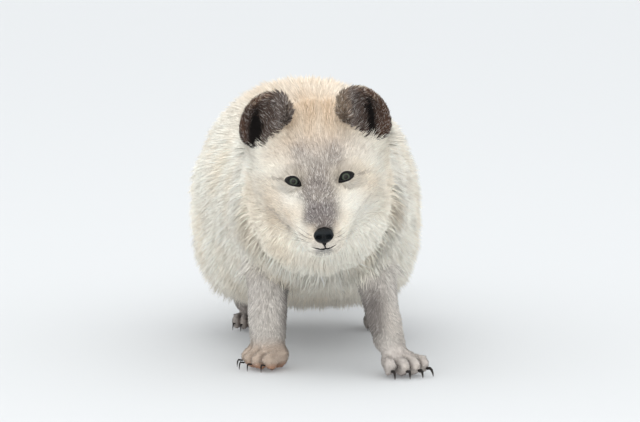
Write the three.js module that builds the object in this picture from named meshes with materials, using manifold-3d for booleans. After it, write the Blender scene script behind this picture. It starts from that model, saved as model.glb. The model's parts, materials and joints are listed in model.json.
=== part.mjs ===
// An adult arctic fox in its pale winter coat, life size, as a still display model.
//
// It stands low on four planted feet, forelegs apart, with its head lowered in front of its chest and rolled a
// little to one side. Every surface is the outside of the coat, out to the tips of the fur.
//
// Millimetres, +Z up. The fox faces -Y, so its left side is +X. The origin is on the floor, under the middle of
// the model's box.
import * as THREE from 'three';
import { mergeVertices } from 'three/addons/utils/BufferGeometryUtils.js';
import Module from 'manifold-3d';

const wasm = await Module();
wasm.setup();

// ---------------------------------------------------------------- driving dimensions

const GAP = 0.3;               // clear space between neighbouring pieces
const EYE_SPACING = 43;        // between the centres of the two eyes
const EYE_RADIUS = 8.2;
const FACE = { x: -1, y: -70, z: 175 }; // the point midway between the eyes
const HEAD_PITCH = 32;         // degrees, nose down
const HEAD_ROLL = 4.3;         // degrees, left side up
const HEAD_TURN = 3;           // degrees, towards its left
const MUZZLE_LENGTH = 65;      // from the line of the eyes to the front of the nose
const NOSE_DROP = 17;          // of the nose's centre below the line of the eyes
const EAR_HEIGHT = 52;
const EAR_WIDTH = 39;
const EAR_SPREAD = 43;         // from the head's middle to each ear's middle
const EAR_WALL = 5;
const EAR_LEAN = 27;           // degrees that each ear's top leans in
const BACK_HEIGHT = 246;       // the top of the coat above the floor
const BELLY_HEIGHT = 31;       // the lowest fur of the belly above the floor
const TAIL_RADIUS = 45;
const SOLE_TRIM = 2.5;         // how much of each rounded sole the floor cuts flat
const WRIST_HEIGHT = 29;       // of the cut between leg and paw
const ELBOW_HEIGHT = 92;       // of the cut between upper and lower foreleg
const HOCK_CUT_HEIGHT = 56;    // of the cut between thigh and hind shank

// The forelegs: where the shoulder, elbow and wrist lie, where the paw stands, how far it turns out, and by how much
// the fur makes the lower leg broader than it is deep. The fur of the right leg stands out more.
const FORELEGS = {
  right: { shoulder: [-42, 50, 146], elbow: [-46, 44, 96], wrist: [-46, 14, 36], paw: [-44, 5], turn: -55, broad: 1.18 },
  left: { shoulder: [39, 46, 146], elbow: [45, 30, 96], wrist: [58, -14, 36], paw: [69, -28], turn: 28, broad: 1.04 },
};
// The hind legs: hip, knee and hock, the paw, and its turn.
const HINDLEGS = {
  right: { hip: [-86, 236, 140], knee: [-84, 226, 92], hock: [-72, 268, 52], paw: [-66, 238], turn: -10 },
  left: { hip: [57, 236, 140], knee: [57, 226, 92], hock: [56, 268, 52], paw: [55, 240], turn: 10 },
};

// Each paw: its reach ahead of and behind its middle, and its half width and height.
const FOREPAW = { ahead: 27, behind: 19, halfWidth: 24, height: 26 };
const HINDPAW = { ahead: 25, behind: 22, halfWidth: 17, height: 21 };
const CLAW = { length: 7, radius: 1.7 };

// The trunk's coat, from the throat to the root of the tail. Each station gives its place along the body and
// across it, its half width, and the heights of its top, of its widest line and of its bottom. over and under tell
// the form of its upper and lower half: 2 is half an ellipse, less comes to a point and more is boxy.
const TRUNK = [
  { y: -60, x: -1, halfWidth: 40, top: 178, widest: 134, bottom: 98, over: 2, under: 2 },
  { y: -44, x: -1, halfWidth: 58, top: 206, widest: 142, bottom: 88, over: 2, under: 2 },
  { y: -20, x: -1.5, halfWidth: 69, top: 225, widest: 146, bottom: 80, over: 2, under: 1.9 },
  { y: 12, x: -2, halfWidth: 75, top: 235, widest: 143, bottom: 76, over: 2, under: 1.9 },
  { y: 55, x: -3, halfWidth: 82, top: 238, widest: 135, bottom: 62, over: 2, under: 2.1 },
  { y: 110, x: -7, halfWidth: 98, top: 242, widest: 125, bottom: 44, over: 2.1, under: 2.8 },
  { y: 165, x: -12, halfWidth: 107, top: BACK_HEIGHT, widest: 118, bottom: 35, over: 2.2, under: 3.4 },
  { y: 220, x: -15, halfWidth: 107, top: BACK_HEIGHT, widest: 116, bottom: BELLY_HEIGHT, over: 2.2, under: 3.4 },
  { y: 270, x: -18, halfWidth: 97, top: 237, widest: 118, bottom: 36, over: 2.1, under: 2.9 },
  { y: 315, x: -20, halfWidth: 74, top: 216, widest: 124, bottom: 56, over: 2, under: 2.2 },
  { y: 340, x: -20, halfWidth: 48, top: 190, widest: 136, bottom: 88, over: 2, under: 2 },
];
// Where thin upright cuts part the trunk into neck, chest, loin and rump.
const TRUNK_CUTS = [16, 112, 205];

// The head in its own frame: midway between the eyes, -Y towards the nose, +Z up.
const HEAD = [
  { y: -60, halfWidth: 13.5, top: -8, bottom: -38 },
  { y: -50, halfWidth: 19, top: -6, bottom: -45 },
  { y: -34, halfWidth: 23, top: -3, bottom: -48 },
  { y: -17, halfWidth: 30.5, top: 4, bottom: -51 },
  { y: -3, halfWidth: 45, top: 14, bottom: -57 },
  { y: 14, halfWidth: 57, top: 25, bottom: -63 },
  { y: 36, halfWidth: 65, top: 35, bottom: -67 },
  { y: 56, halfWidth: 67, top: 40, bottom: -67 },
  { y: 74, halfWidth: 63, top: 37, bottom: -62 },
];
const MUZZLE_CUT = -15;        // of the cut between muzzle and head
const MOUTH_FRONT = { y: -58, z: -33 }; // the mouth's line at the lips
const MOUTH_CORNER = { y: -14, z: -28 };

// The tail leaves the rump, hangs to the floor and lies along it.
const TAIL = [
  { at: [-20, 300, 168], radius: 34 },
  { at: [-19, 340, 150], radius: 41 },
  { at: [-15, 376, 110], radius: TAIL_RADIUS },
  { at: [-8, 408, 68], radius: TAIL_RADIUS },
  { at: [2, 456, 43], radius: TAIL_RADIUS },
  { at: [12, 504, 38], radius: 40 },
  { at: [18, 548, 28], radius: 26 },
];
const TAIL_CUT = 3;            // the station of the cut between the tail's root and its brush

// ---------------------------------------------------------------- materials

const coat = (colour) => new THREE.MeshStandardMaterial({ color: colour, roughness: 0.95, metalness: 0 });
const CREAM = coat('#dfd6c6');
const GREY = coat('#a8a29c');
const MASK = coat('#b4aea8');
const EAR_BROWN = coat('#5a4b44');
const NOSE_LEATHER = new THREE.MeshStandardMaterial({ color: '#15171a', roughness: 0.35, metalness: 0 });
const EYE_GLASS = new THREE.MeshStandardMaterial({ color: '#2c2f24', roughness: 0.08, metalness: 0 });
const CLAW_HORN = new THREE.MeshStandardMaterial({ color: '#35302b', roughness: 0.4, metalness: 0 });

// ---------------------------------------------------------------- solids

const radians = THREE.MathUtils.degToRad;
const UP = [0, 0, 1];
const DOWN = [0, 0, -1];
const BACK = [0, 1, 0];

// A closed three.js geometry as a solid, turned right side out.
function solidOf(geometry) {
  const bare = new THREE.BufferGeometry().setAttribute('position', geometry.getAttribute('position'));
  bare.setIndex(geometry.index);
  const merged = mergeVertices(bare, 1e-4);
  const triVerts = new Uint32Array(merged.index.array);
  const build = () => new wasm.Manifold(
    new wasm.Mesh({ numProp: 3, vertProperties: merged.attributes.position.array, triVerts }));
  const made = build();
  if (made.volume() > 0) return made;
  for (let i = 0; i < triVerts.length; i += 3) {
    [triVerts[i + 1], triVerts[i + 2]] = [triVerts[i + 2], triVerts[i + 1]];
  }
  return build();
}

// A solid's surface as a named mesh. Cuts can leave crumbs, so only the largest body is kept.
function meshOf(name, solid, material) {
  const [body] = solid.decompose().sort((a, b) => b.volume() - a.volume());
  const { numProp, vertProperties, triVerts } = body.getMesh();
  const count = vertProperties.length / numProp;
  const places = new Float32Array(count * 3);
  for (let i = 0; i < count; i++) {
    places.set(vertProperties.subarray(i * numProp, i * numProp + 3), i * 3);
  }
  const geometry = new THREE.BufferGeometry();
  geometry.setAttribute('position', new THREE.BufferAttribute(places, 3));
  geometry.setIndex(new THREE.BufferAttribute(triVerts, 1));
  geometry.computeVertexNormals();
  const mesh = new THREE.Mesh(geometry, material);
  mesh.name = name;
  return mesh;
}

// A closed body with rounded ends, whose rings follow a curve. Each ring has a centre, a half width to both sides,
// its own reach up and down, and the form of its halves over and under the middle. It starts as a sphere, whose
// circles of latitude are moved onto the curve. grow makes every ring that much larger. ends is the share of the
// length over which each end rounds off. axis, where it is given, is the direction that all the rings face, in place
// of the curve's own.
function loft(rings, { sides, steps, grow = 0, ends = 0.12, axis = null }) {
  const curveOf = (read) => new THREE.CatmullRomCurve3(rings.map((r) => new THREE.Vector3(...read(r))));
  const centre = curveOf((r) => r.at);
  const size = curveOf((r) => [r.wide, r.up, r.down]);
  const form = curveOf(({ over = 2, under = 2 }) => [over, under, 0]);
  const geometry = new THREE.SphereGeometry(1, sides, steps);
  const position = geometry.getAttribute('position');
  for (let i = 0; i < position.count; i++) {
    const height = position.getY(i);
    const t = (1 - height) / 2;
    const along = axis ? new THREE.Vector3(...axis) : centre.getTangent(t);
    const place = centre.getPoint(t);
    const circle = Math.sqrt(Math.max(1 - height ** 2, 0));
    if (circle < 1e-5) {
      place.addScaledVector(along, t < 0.5 ? -grow : grow);
    } else {
      const fromEnd = Math.min(t, 1 - t) / ends;
      const closing = fromEnd < 1 ? Math.sqrt(1 - (1 - fromEnd) ** 2) : 1;
      const out = new THREE.Vector3(1, 0, 0).addScaledVector(along, -along.x).normalize();
      const lift = new THREE.Vector3().crossVectors(out, along).normalize();
      const { x: wide, y: up, z: down } = size.getPoint(t);
      const { x: over, y: under } = form.getPoint(t);
      const isOver = position.getZ(i) > 0;
      const bend = (share) => Math.sign(share) * Math.abs(share / circle) ** (2 / (isOver ? over : under));
      place.addScaledVector(out, bend(position.getX(i)) * (wide * closing + grow));
      place.addScaledVector(lift, bend(position.getZ(i)) * ((isOver ? up : down) * closing + grow));
    }
    position.setXYZ(i, ...place);
  }
  return solidOf(geometry);
}

// A loft's rings from stations across the body, such as the trunk's and the head's.
const bodyRings = (stations) => stations.map((station) => {
  const { x = 0, y, halfWidth, top, bottom, widest = (top + bottom) / 2, over, under } = station;
  return { at: [x, y, widest], wide: halfWidth, up: top - widest, down: widest - bottom, over, under };
});

// A loft with a round section, such as a tail.
const roundRings = (stations) => stations.map(({ at, radius, deep = radius }) => (
  { at, wide: radius, up: deep, down: deep }));

// An ellipsoid of half sizes [x, y, z], about a centre.
function ellipsoid([rx, ry, rz], [x, y, z], sides = 20, steps = 12) {
  const sphere = new THREE.SphereGeometry(1, sides, steps).rotateX(Math.PI / 2);
  return solidOf(sphere.scale(rx, ry, rz).translate(x, y, z));
}

// What is left of a solid on one side of a plane through a point, less half a gap.
function sideOf(solid, normal, point) {
  const n = new THREE.Vector3(...normal).normalize();
  return solid.trimByPlane(n.toArray(), n.dot(new THREE.Vector3(...point)) + GAP / 2);
}

// A solid cut at several planes across one axis, as the pieces between them.
function slices(solid, axis, places) {
  const rest = axis.map((a) => -a);
  const at = (place) => axis.map((a) => a * place);
  return [...places, Infinity].map((place, i) => {
    let piece = i > 0 ? sideOf(solid, axis, at(places[i - 1])) : solid;
    if (place < Infinity) piece = sideOf(piece, rest, at(place));
    return piece;
  });
}

const moved = (solid, matrix) => solid.transform(matrix.elements);
const FLOOR = new THREE.Vector3();
// The floor takes no half gap: what stands on it is cut exactly at its level.
const onFloor = (solid) => solid.trimByPlane(UP, FLOOR.z);

// ---------------------------------------------------------------- head

const headGroup = new THREE.Group();
headGroup.position.set(FACE.x, FACE.y, FACE.z);
headGroup.rotation.set(radians(HEAD_PITCH), radians(-HEAD_ROLL), radians(HEAD_TURN), 'ZXY');
headGroup.updateMatrix();

const headShape = (grow = 0) => loft(bodyRings(HEAD), { sides: 21, steps: 14, grow, ends: 0.07, axis: BACK });

const eyeShape = (side, grow = 0) => ellipsoid(
  [1, 1, 1].map((r) => r * (EYE_RADIUS + grow)), [side * EYE_SPACING / 2, -4, 2], 10, 6);

// The bare nose: a rounded pad, wider at its top than at its foot.
const noseShape = (grow = 0) => loft([
  { at: [0, -MUZZLE_LENGTH, -NOSE_DROP], wide: 6.4, up: 5.4, down: 6 },
  { at: [0, -MUZZLE_LENGTH + 6, -NOSE_DROP + 1], wide: 9.4, up: 7.4, down: 7.4 },
  { at: [0, -MUZZLE_LENGTH + 12, -NOSE_DROP + 1], wide: 7, up: 6, down: 6 },
], { sides: 12, steps: 6, grow, ends: 0.3 });

// Where an ear stands on the head: it faces forward and a little outward.
function earMatrix(side) {
  const place = new THREE.Object3D();
  place.position.set(side * EAR_SPREAD, 42, 34);
  place.rotation.set(radians(-12), radians(-side * EAR_LEAN), radians(side * 16), 'ZYX');
  place.updateMatrix();
  return place.matrix;
}

// The whole oval that the ear is cut from, up to its front rim.
function earOval(side, grow = 0) {
  const half = [EAR_WIDTH / 2, 13, EAR_HEIGHT * 0.56].map((r) => r + grow);
  return moved(ellipsoid(half, [0, 0, 0], 12, 8).trimByPlane(BACK, -6 - grow), earMatrix(side));
}

// An ear: the oval, hollowed from the front, so that it is a cup with a rounded rim.
function earShape(side) {
  const hollow = [EAR_WIDTH / 2 - EAR_WALL, 15, EAR_HEIGHT * 0.56 - EAR_WALL];
  return earOval(side).subtract(moved(ellipsoid(hollow, [0, -7, 1], 10, 6), earMatrix(side)));
}

function buildHead() {
  const nose = noseShape();
  const eyes = [1, -1].map((side) => eyeShape(side));
  let flesh = headShape().subtract(noseShape(GAP));
  for (const side of [1, -1]) flesh = flesh.subtract(eyeShape(side, GAP)).subtract(earOval(side, GAP));
  const head = sideOf(flesh, [0, 1, 0], [0, MUZZLE_CUT, 0]);
  const face = sideOf(flesh, [0, -1, 0], [0, MUZZLE_CUT, 0]);
  const mouth = [0, MOUTH_FRONT.y, MOUTH_FRONT.z];
  const rise = (MOUTH_CORNER.z - MOUTH_FRONT.z) / (MOUTH_CORNER.y - MOUTH_FRONT.y);
  headGroup.add(
    meshOf('head', head, CREAM),
    meshOf('muzzle', sideOf(face, [0, -rise, 1], mouth), MASK),
    meshOf('lower_jaw', sideOf(face, [0, rise, -1], mouth), CREAM),
    meshOf('nose_pad', nose, NOSE_LEATHER),
    meshOf('eye_left', eyes[0], EYE_GLASS),
    meshOf('eye_right', eyes[1], EYE_GLASS),
  );
  headGroup.add(meshOf('ear_left', earShape(1), EAR_BROWN));
  headGroup.add(meshOf('ear_right', earShape(-1), EAR_BROWN));
}

// ---------------------------------------------------------------- legs

// The shoulder's mass, the foreleg and its wrist, down to inside the paw.
function forelegShape({ shoulder, elbow, wrist, paw, broad }, grow = 0) {
  const outward = Math.sign(shoulder[0]);
  const knee = elbow.map((e, i) => (e + wrist[i]) / 2);
  return loft([
    { at: [shoulder[0] - outward * 4, shoulder[1] + 4, shoulder[2] + 24], wide: 24, up: 30, down: 30 },
    { at: shoulder, wide: 33, up: 36, down: 36 },
    { at: elbow, wide: 22, up: 24, down: 26 },
    { at: knee, wide: 16 * broad, up: 18, down: 18 },
    { at: wrist, wide: 15.5 * broad, up: 16, down: 16 },
    { at: [(wrist[0] + paw[0]) / 2, (wrist[1] + paw[1]) / 2, 12], wide: 13.5 * broad, up: 13, down: 13 },
  ], { sides: 11, steps: 10, grow, axis: DOWN });
}

// The thigh's mass down to the hock, and the upright shank from the hock to inside the paw.
function hindlegShape({ hip, knee, hock, paw }, grow = 0) {
  const thigh = loft([
    { at: [hip[0], hip[1] - 2, hip[2] + 40], wide: 26, up: 40, down: 40 },
    { at: hip, wide: 38, up: 58, down: 54 },
    { at: knee, wide: 36, up: 50, down: 46 },
    { at: [knee[0] * 0.5 + hock[0] * 0.5, knee[1] + 20, hock[2] + 6], wide: 20, up: 30, down: 34 },
    { at: [hock[0], hock[1] - 14, hock[2] - 12], wide: 14, up: 16, down: 20 },
  ], { sides: 12, steps: 8, grow, axis: DOWN });
  const shank = loft(roundRings([
    { at: [hock[0], hock[1] + 2, hock[2] + 8], radius: 13 },
    { at: hock, radius: 15, deep: 17 },
    { at: [hock[0], (hock[1] + paw[1]) / 2 + 3, hock[2] * 0.6], radius: 14.5, deep: 15 },
    { at: [paw[0], paw[1] + 8, 12], radius: 13.5, deep: 13 },
  ]), { sides: 9, steps: 5, grow, axis: DOWN });
  return thigh.add(shank);
}

// The frame of a paw: the middle of its sole, -Y towards its toes.
function pawGroupAt({ paw: [x, y], turn }) {
  const group = new THREE.Group();
  group.position.set(x, y, 0);
  group.rotation.z = radians(turn);
  group.updateMatrix();
  return group;
}

const TOE_PLACES = [-1.5, -0.5, 0.5, 1.5];

// Where each toe lies across the paw, how far its tip reaches and which way it spreads.
const toesOf = ({ ahead, halfWidth }) => TOE_PLACES.map((place) => ({
  base: place * halfWidth * 0.42,
  tip: place * halfWidth * 0.5,
  reach: ahead - Math.abs(Math.abs(place) - 0.5) * 6,
}));

// The paw's pad and four toes, with flats where they stand.
function pawShape(size) {
  const { behind, halfWidth, height } = size;
  const low = -SOLE_TRIM;
  let paw = loft([
    { at: [0, -8, height * 0.42], wide: halfWidth * 0.8, up: height * 0.44, down: height * 0.42 - low },
    { at: [0, behind * 0.2, height * 0.5], wide: halfWidth * 0.78, up: height * 0.5, down: height * 0.5 - low },
    { at: [0, behind, 11], wide: halfWidth * 0.5, up: 9, down: 11 - low },
  ], { sides: 9, steps: 5, ends: 0.25 });
  for (const { base, tip, reach } of toesOf(size)) {
    paw = paw.add(loft([
      { at: [tip, -reach * 0.95, 7], wide: 5, up: 7, down: 7 - low },
      { at: [(base + tip) / 2, -reach * 0.5, height * 0.46], wide: 6.4, up: 9.5, down: height * 0.46 - low },
      { at: [base, 0, height * 0.5], wide: 5.5, up: 9, down: 9 },
    ], { sides: 6, steps: 4, ends: 0.3 }));
  }
  return onFloor(paw);
}

// A claw: it leaves the toe's tip and curves down until it just clears the floor.
const clawShape = ({ tip, reach }, grow = 0) => loft(roundRings([
  { at: [tip, -reach + 2, 8], radius: CLAW.radius },
  { at: [tip * 1.02, -reach - CLAW.length * 0.45, 7], radius: CLAW.radius * 0.85 },
  { at: [tip * 1.04, -reach - CLAW.length * 0.85, 2.2], radius: CLAW.radius * 0.4 },
]), { sides: 4, steps: 4, grow, ends: 0.2 });

// A leg's lower end and its paw, parted at the wrist, with the claws set in the toes.
function buildPaw(name, leg, group, size) {
  const wrist = moved(sideOf(leg, DOWN, [0, 0, WRIST_HEIGHT]), group.matrix.clone().invert());
  let paw = onFloor(pawShape(size).add(wrist));
  paw = sideOf(paw, DOWN, [0, 0, WRIST_HEIGHT]);
  toesOf(size).forEach((toe, i) => {
    paw = paw.subtract(clawShape(toe, GAP));
    group.add(meshOf(`${name}_claw_${i + 1}`, clawShape(toe), CLAW_HORN));
  });
  group.add(meshOf(name, paw, GREY));
  return group;
}

function buildForeleg(side, plan, group) {
  const leg = forelegShape(plan);
  const above = sideOf(leg, UP, [0, 0, WRIST_HEIGHT]);
  group.add(
    meshOf(`shoulder_${side}`, sideOf(above, UP, [0, 0, ELBOW_HEIGHT]), CREAM),
    meshOf(`forearm_${side}`, sideOf(above, DOWN, [0, 0, ELBOW_HEIGHT]), GREY),
    buildPaw(`forepaw_${side}`, leg, pawGroupAt(plan), FOREPAW),
  );
}

function buildHindleg(side, plan, group) {
  const leg = hindlegShape(plan);
  const above = sideOf(leg, UP, [0, 0, WRIST_HEIGHT]);
  group.add(
    meshOf(`thigh_${side}`, sideOf(above, UP, [0, 0, HOCK_CUT_HEIGHT]), CREAM),
    meshOf(`hock_${side}`, sideOf(above, DOWN, [0, 0, HOCK_CUT_HEIGHT]), GREY),
    buildPaw(`hindpaw_${side}`, leg, pawGroupAt(plan), HINDPAW),
  );
}

// ---------------------------------------------------------------- trunk and tail

const trunkShape = (grow = 0) => loft(bodyRings(TRUNK), { sides: 20, steps: 14, grow, axis: BACK });

// The trunk makes room for the head and for the tops of the legs, then is parted across.
function buildTrunk(group) {
  let trunk = trunkShape().subtract(moved(headShape(GAP), headGroup.matrix));
  for (const side of [1, -1]) trunk = trunk.subtract(moved(earOval(side, GAP), headGroup.matrix));
  for (const plan of Object.values(FORELEGS)) trunk = trunk.subtract(forelegShape(plan, GAP));
  for (const plan of Object.values(HINDLEGS)) trunk = trunk.subtract(hindlegShape(plan, GAP));
  const names = ['neck', 'chest', 'loin', 'rump'];
  slices(trunk, [0, 1, 0], TRUNK_CUTS).forEach((piece, i) => group.add(meshOf(names[i], piece, CREAM)));
}

function buildTail(group) {
  const tail = onFloor(loft(roundRings(TAIL), { sides: 13, steps: 10, ends: 0.1 })).subtract(trunkShape(GAP));
  const { at } = TAIL[TAIL_CUT];
  const along = [0, TAIL[TAIL_CUT + 1].at[1] - at[1], TAIL[TAIL_CUT + 1].at[2] - at[2]];
  group.add(
    meshOf('tail_root', sideOf(tail, along.map((a) => -a), at), CREAM),
    meshOf('tail_brush', sideOf(tail, along, at), CREAM),
  );
}

// ---------------------------------------------------------------- the fox

const fox = new THREE.Group();
buildHead();
fox.add(headGroup);
buildTrunk(fox);
for (const [side, plan] of Object.entries(FORELEGS)) buildForeleg(side, plan, fox);
for (const [side, plan] of Object.entries(HINDLEGS)) buildHindleg(side, plan, fox);
buildTail(fox);

// The fox is moved so that the middle of its box is over the origin.
const box = new THREE.Box3().setFromObject(fox, true);
const middle = box.getCenter(new THREE.Vector3());
fox.position.set(-middle.x, -middle.y, 0);
fox.updateMatrixWorld(true);

const arcticFox = new THREE.Group();
arcticFox.add(fox);
export default arcticFox;
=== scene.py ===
# %% [markdown]
# # An arctic fox in its winter coat
#
# A life-size display model of a standing fox, seen almost from the front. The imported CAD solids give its
# outline out to the tips of the fur. Here they get one skin, a coat of many small tufts, and eyes, nose and
# claws.
#
# Units are metres. The fox faces -Y, +X is its left and Z is up. Small sizes are written in millimetres
# times MM.

import json
import math

import bpy
import numpy as np
from mathutils import Matrix, Vector
from mathutils.bvhtree import BVHTree
from mathutils.kdtree import KDTree

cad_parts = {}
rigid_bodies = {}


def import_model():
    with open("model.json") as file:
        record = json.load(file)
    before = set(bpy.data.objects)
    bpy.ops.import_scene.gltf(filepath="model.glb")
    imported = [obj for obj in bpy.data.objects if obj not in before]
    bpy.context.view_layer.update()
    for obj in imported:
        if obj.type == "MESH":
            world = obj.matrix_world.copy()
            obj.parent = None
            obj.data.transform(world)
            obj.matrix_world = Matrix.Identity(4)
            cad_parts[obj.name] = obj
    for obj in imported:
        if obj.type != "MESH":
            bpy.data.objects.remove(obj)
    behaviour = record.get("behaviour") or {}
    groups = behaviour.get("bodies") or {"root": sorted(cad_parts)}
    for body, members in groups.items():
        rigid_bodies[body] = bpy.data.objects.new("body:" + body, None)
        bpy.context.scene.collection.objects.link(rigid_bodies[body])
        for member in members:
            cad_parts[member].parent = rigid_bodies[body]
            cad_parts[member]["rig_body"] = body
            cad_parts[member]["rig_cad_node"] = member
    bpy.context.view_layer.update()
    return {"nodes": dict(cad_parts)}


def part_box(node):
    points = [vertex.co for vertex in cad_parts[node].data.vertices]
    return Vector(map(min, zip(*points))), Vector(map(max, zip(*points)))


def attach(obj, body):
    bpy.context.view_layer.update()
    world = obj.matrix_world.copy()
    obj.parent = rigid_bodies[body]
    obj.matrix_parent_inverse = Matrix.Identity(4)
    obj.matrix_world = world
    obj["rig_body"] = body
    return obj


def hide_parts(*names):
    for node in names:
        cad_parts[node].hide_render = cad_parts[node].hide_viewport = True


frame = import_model()
nodes = frame["nodes"]
MM = 0.001
chance = np.random.default_rng(11)
DENSITY = 1.0  # the share of the coat that is grown

# %% [markdown]
# ## The head's own frame
#
# The head is lowered, rolled and turned a little. Markings, eyes and nose are easier to place in a frame
# that moves with it: millimetres from the point between the eyes, with -Y out along the muzzle and +Z up
# through the crown. One rotation matrix takes points in and out of that frame.

# %% The head's own frame
HEAD_PITCH, HEAD_ROLL, HEAD_TURN = (math.radians(a) for a in (32, -4.3, 3))
VIEW_TILT = math.radians(6.45)  # how far the camera looks down
EYE_MIDDLE = Vector((0, -4, 2))  # in the head's frame


def centre_of(node):
    low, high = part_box(node)
    return (low + high) / 2


turn = Matrix.Rotation(HEAD_TURN, 3, "Z") @ Matrix.Rotation(HEAD_PITCH, 3, "X")
turn = turn @ Matrix.Rotation(HEAD_ROLL, 3, "Y")
between_eyes = (centre_of("eye_left") + centre_of("eye_right")) / 2
face_origin = between_eyes - turn @ EYE_MIDDLE * MM
TURN = np.array(turn)
ORIGIN = np.array(face_origin)


def to_head(points):
    """Points in metres as millimetres in the head's frame."""
    return (np.asarray(points) - ORIGIN) @ TURN / MM


def from_head(points):
    """Millimetres in the head's frame as metres in the row's."""
    return np.asarray(points, float) * MM @ TURN.T + ORIGIN


# In the head's frame: from the face to the viewer, and up as the viewer sees it.
face_tilt = HEAD_PITCH + VIEW_TILT
LOOK = np.array((0, -math.cos(face_tilt), math.sin(face_tilt)))
RISE = np.array((0, math.sin(face_tilt), math.cos(face_tilt)))
EYE_LINE = float(np.array(EYE_MIDDLE) @ RISE)
print("between the eyes:", [round(v, 4) for v in between_eyes])

# %% [markdown]
# ## Small helpers
#
# Objects are made by the operators that a modeller would use, and their vertices are moved as arrays.
# Everything is deselected before each new piece, because the loaded solids are all selected.

# %% Small helpers
SIDES = {"left": 1.0, "right": -1.0}  # which way along X each side of the fox lies
RIPPLE_WAVES = 6
FULL_TURN = 6.28  # radians


def deselect():
    if bpy.context.object and bpy.context.object.mode != "OBJECT":
        bpy.ops.object.mode_set(mode="OBJECT")
    bpy.ops.object.select_all(action="DESELECT")


def choose(obj):
    """Makes obj the one selected and active object."""
    deselect()
    obj.select_set(True)
    bpy.context.view_layer.objects.active = obj
    return obj


def points_of(obj):
    co = np.empty(len(obj.data.vertices) * 3, np.float32)
    obj.data.vertices.foreach_get("co", co)
    return co.reshape(-1, 3).astype(float)


def set_points(obj, points):
    obj.data.vertices.foreach_set("co", np.asarray(points, np.float32).ravel())
    obj.data.update()


def normals_of(obj):
    no = np.empty(len(obj.data.vertices) * 3, np.float32)
    obj.data.vertices.foreach_get("normal", no)
    return no.reshape(-1, 3).astype(float)


def unit(vectors):
    return vectors / np.maximum(np.linalg.norm(vectors, axis=-1, keepdims=True), 1e-12)


def ramp(values, low, high):
    """0 below low, 1 above high, and a smooth step between them."""
    t = np.clip((values - low) / (high - low), 0, 1)
    return t * t * (3 - 2 * t)


def blot(points, centre, size, soft=0.35):
    """1 inside an oval, 0 well outside it."""
    far = np.linalg.norm((points - np.array(centre, float)) / np.array(size, float), axis=1)
    return 1 - ramp(far, 1 - soft, 1 + soft)


def ripple(points, scale, seed):
    """A smooth random wave from -1 to 1 whose swells are about scale metres long."""
    waves = np.random.default_rng(seed)
    total = np.zeros(len(points))
    for _ in range(RIPPLE_WAVES):
        way = unit(waves.normal(size=3)) * 2 * math.pi / scale * waves.uniform(0.6, 1.6)
        total += np.sin(points @ way + waves.uniform(0, FULL_TURN))
    return total / 3.2


def apply_modifiers(obj):
    choose(obj)
    for modifier in list(obj.modifiers):
        bpy.ops.object.modifier_apply(modifier=modifier.name)


def in_place(obj):
    """Puts an object's place, turn and size into its mesh."""
    choose(obj)
    bpy.ops.object.transform_apply(location=True, rotation=True, scale=True)
    return obj


# %% [markdown]
# ## The outside of the coat
#
# Copies of the solids, each made a hair larger so that they meet, are joined and remeshed into one closed
# surface. A voxel remesh is used because it melts the thin gaps and the overlaps into one even mesh, where
# a chain of booleans would leave slivers. This surface is where the tips of the coat end.

# %% The outside of the coat
VOXEL = 2.4 * MM
MERGING = 1e-6  # the solids' loose triangles are joined where their corners are this close
CLOSING = 0.35 * MM  # how much each copy grows to meet its neighbours
flesh = sorted(n for n in nodes if "claw" not in n and not n.startswith("eye_") and n != "nose_pad")
print(len(flesh), "nodes of flesh")


def copy_of(name):
    piece = nodes[name].copy()
    piece.data = nodes[name].data.copy()
    piece.data.materials.clear()
    bpy.context.scene.collection.objects.link(piece)
    piece.parent = None
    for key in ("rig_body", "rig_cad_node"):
        del piece[key]
    choose(piece)
    bpy.ops.object.mode_set(mode="EDIT")
    bpy.ops.mesh.select_all(action="SELECT")
    bpy.ops.mesh.remove_doubles(threshold=MERGING)
    bpy.ops.transform.shrink_fatten(value=CLOSING)
    bpy.ops.object.mode_set(mode="OBJECT")
    return piece


copies = [copy_of(n) for n in [*flesh, "eye_left", "eye_right", "nose_pad"]]
deselect()
for piece in copies:
    piece.select_set(True)
bpy.context.view_layer.objects.active = copies[0]
bpy.ops.object.join()
skin = bpy.context.object
skin.name = "skin"
skin.data.name = "skin"
remesh = skin.modifiers.new("melt", "REMESH")
remesh.mode = "VOXEL"
remesh.voxel_size = VOXEL
apply_modifiers(skin)
print("the outside:", len(skin.data.vertices), "vertices")

# %% [markdown]
# ## Which part each point belongs to
#
# Depth, length and lie of the fur all depend on the part of the body. Each vertex asks a search tree over
# the CAD triangles which node is nearest to it.

# %% Which part each point belongs to
def flesh_tree():
    places, faces, owner = [], [], []
    for index, name in enumerate(flesh):
        mesh = nodes[name].data
        first = len(places)
        places.extend(v.co.copy() for v in mesh.vertices)
        for polygon in mesh.polygons:
            faces.append([first + v for v in polygon.vertices])
            owner.append(index)
    return BVHTree.FromPolygons(places, faces), np.array(owner)


outside_tree, face_owner = flesh_tree()


def owners(points):
    found = [outside_tree.find_nearest(Vector(p))[2] for p in points]
    return face_owner[np.array(found)]


def edges_of(obj):
    pairs = np.empty(len(obj.data.edges) * 2, np.int32)
    obj.data.edges.foreach_get("vertices", pairs)
    return pairs.reshape(-1, 2)


def spread(values, pairs, rounds, weight=0.5):
    """Evens out one value or vector per vertex with its neighbours' average, again and again."""
    values = np.array(values, float)
    flat = values.reshape(len(values), -1)
    count = np.bincount(pairs.ravel(), minlength=len(flat))
    count = np.maximum(count, 1)
    weight = np.broadcast_to(np.asarray(weight, float), (len(flat),))
    for _ in range(rounds):
        for column in range(flat.shape[1]):
            total = np.bincount(pairs[:, 0], flat[pairs[:, 1], column], len(flat))
            total += np.bincount(pairs[:, 1], flat[pairs[:, 0], column], len(flat))
            flat[:, column] += weight * (total / count - flat[:, column])
    return flat.reshape(values.shape)


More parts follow.
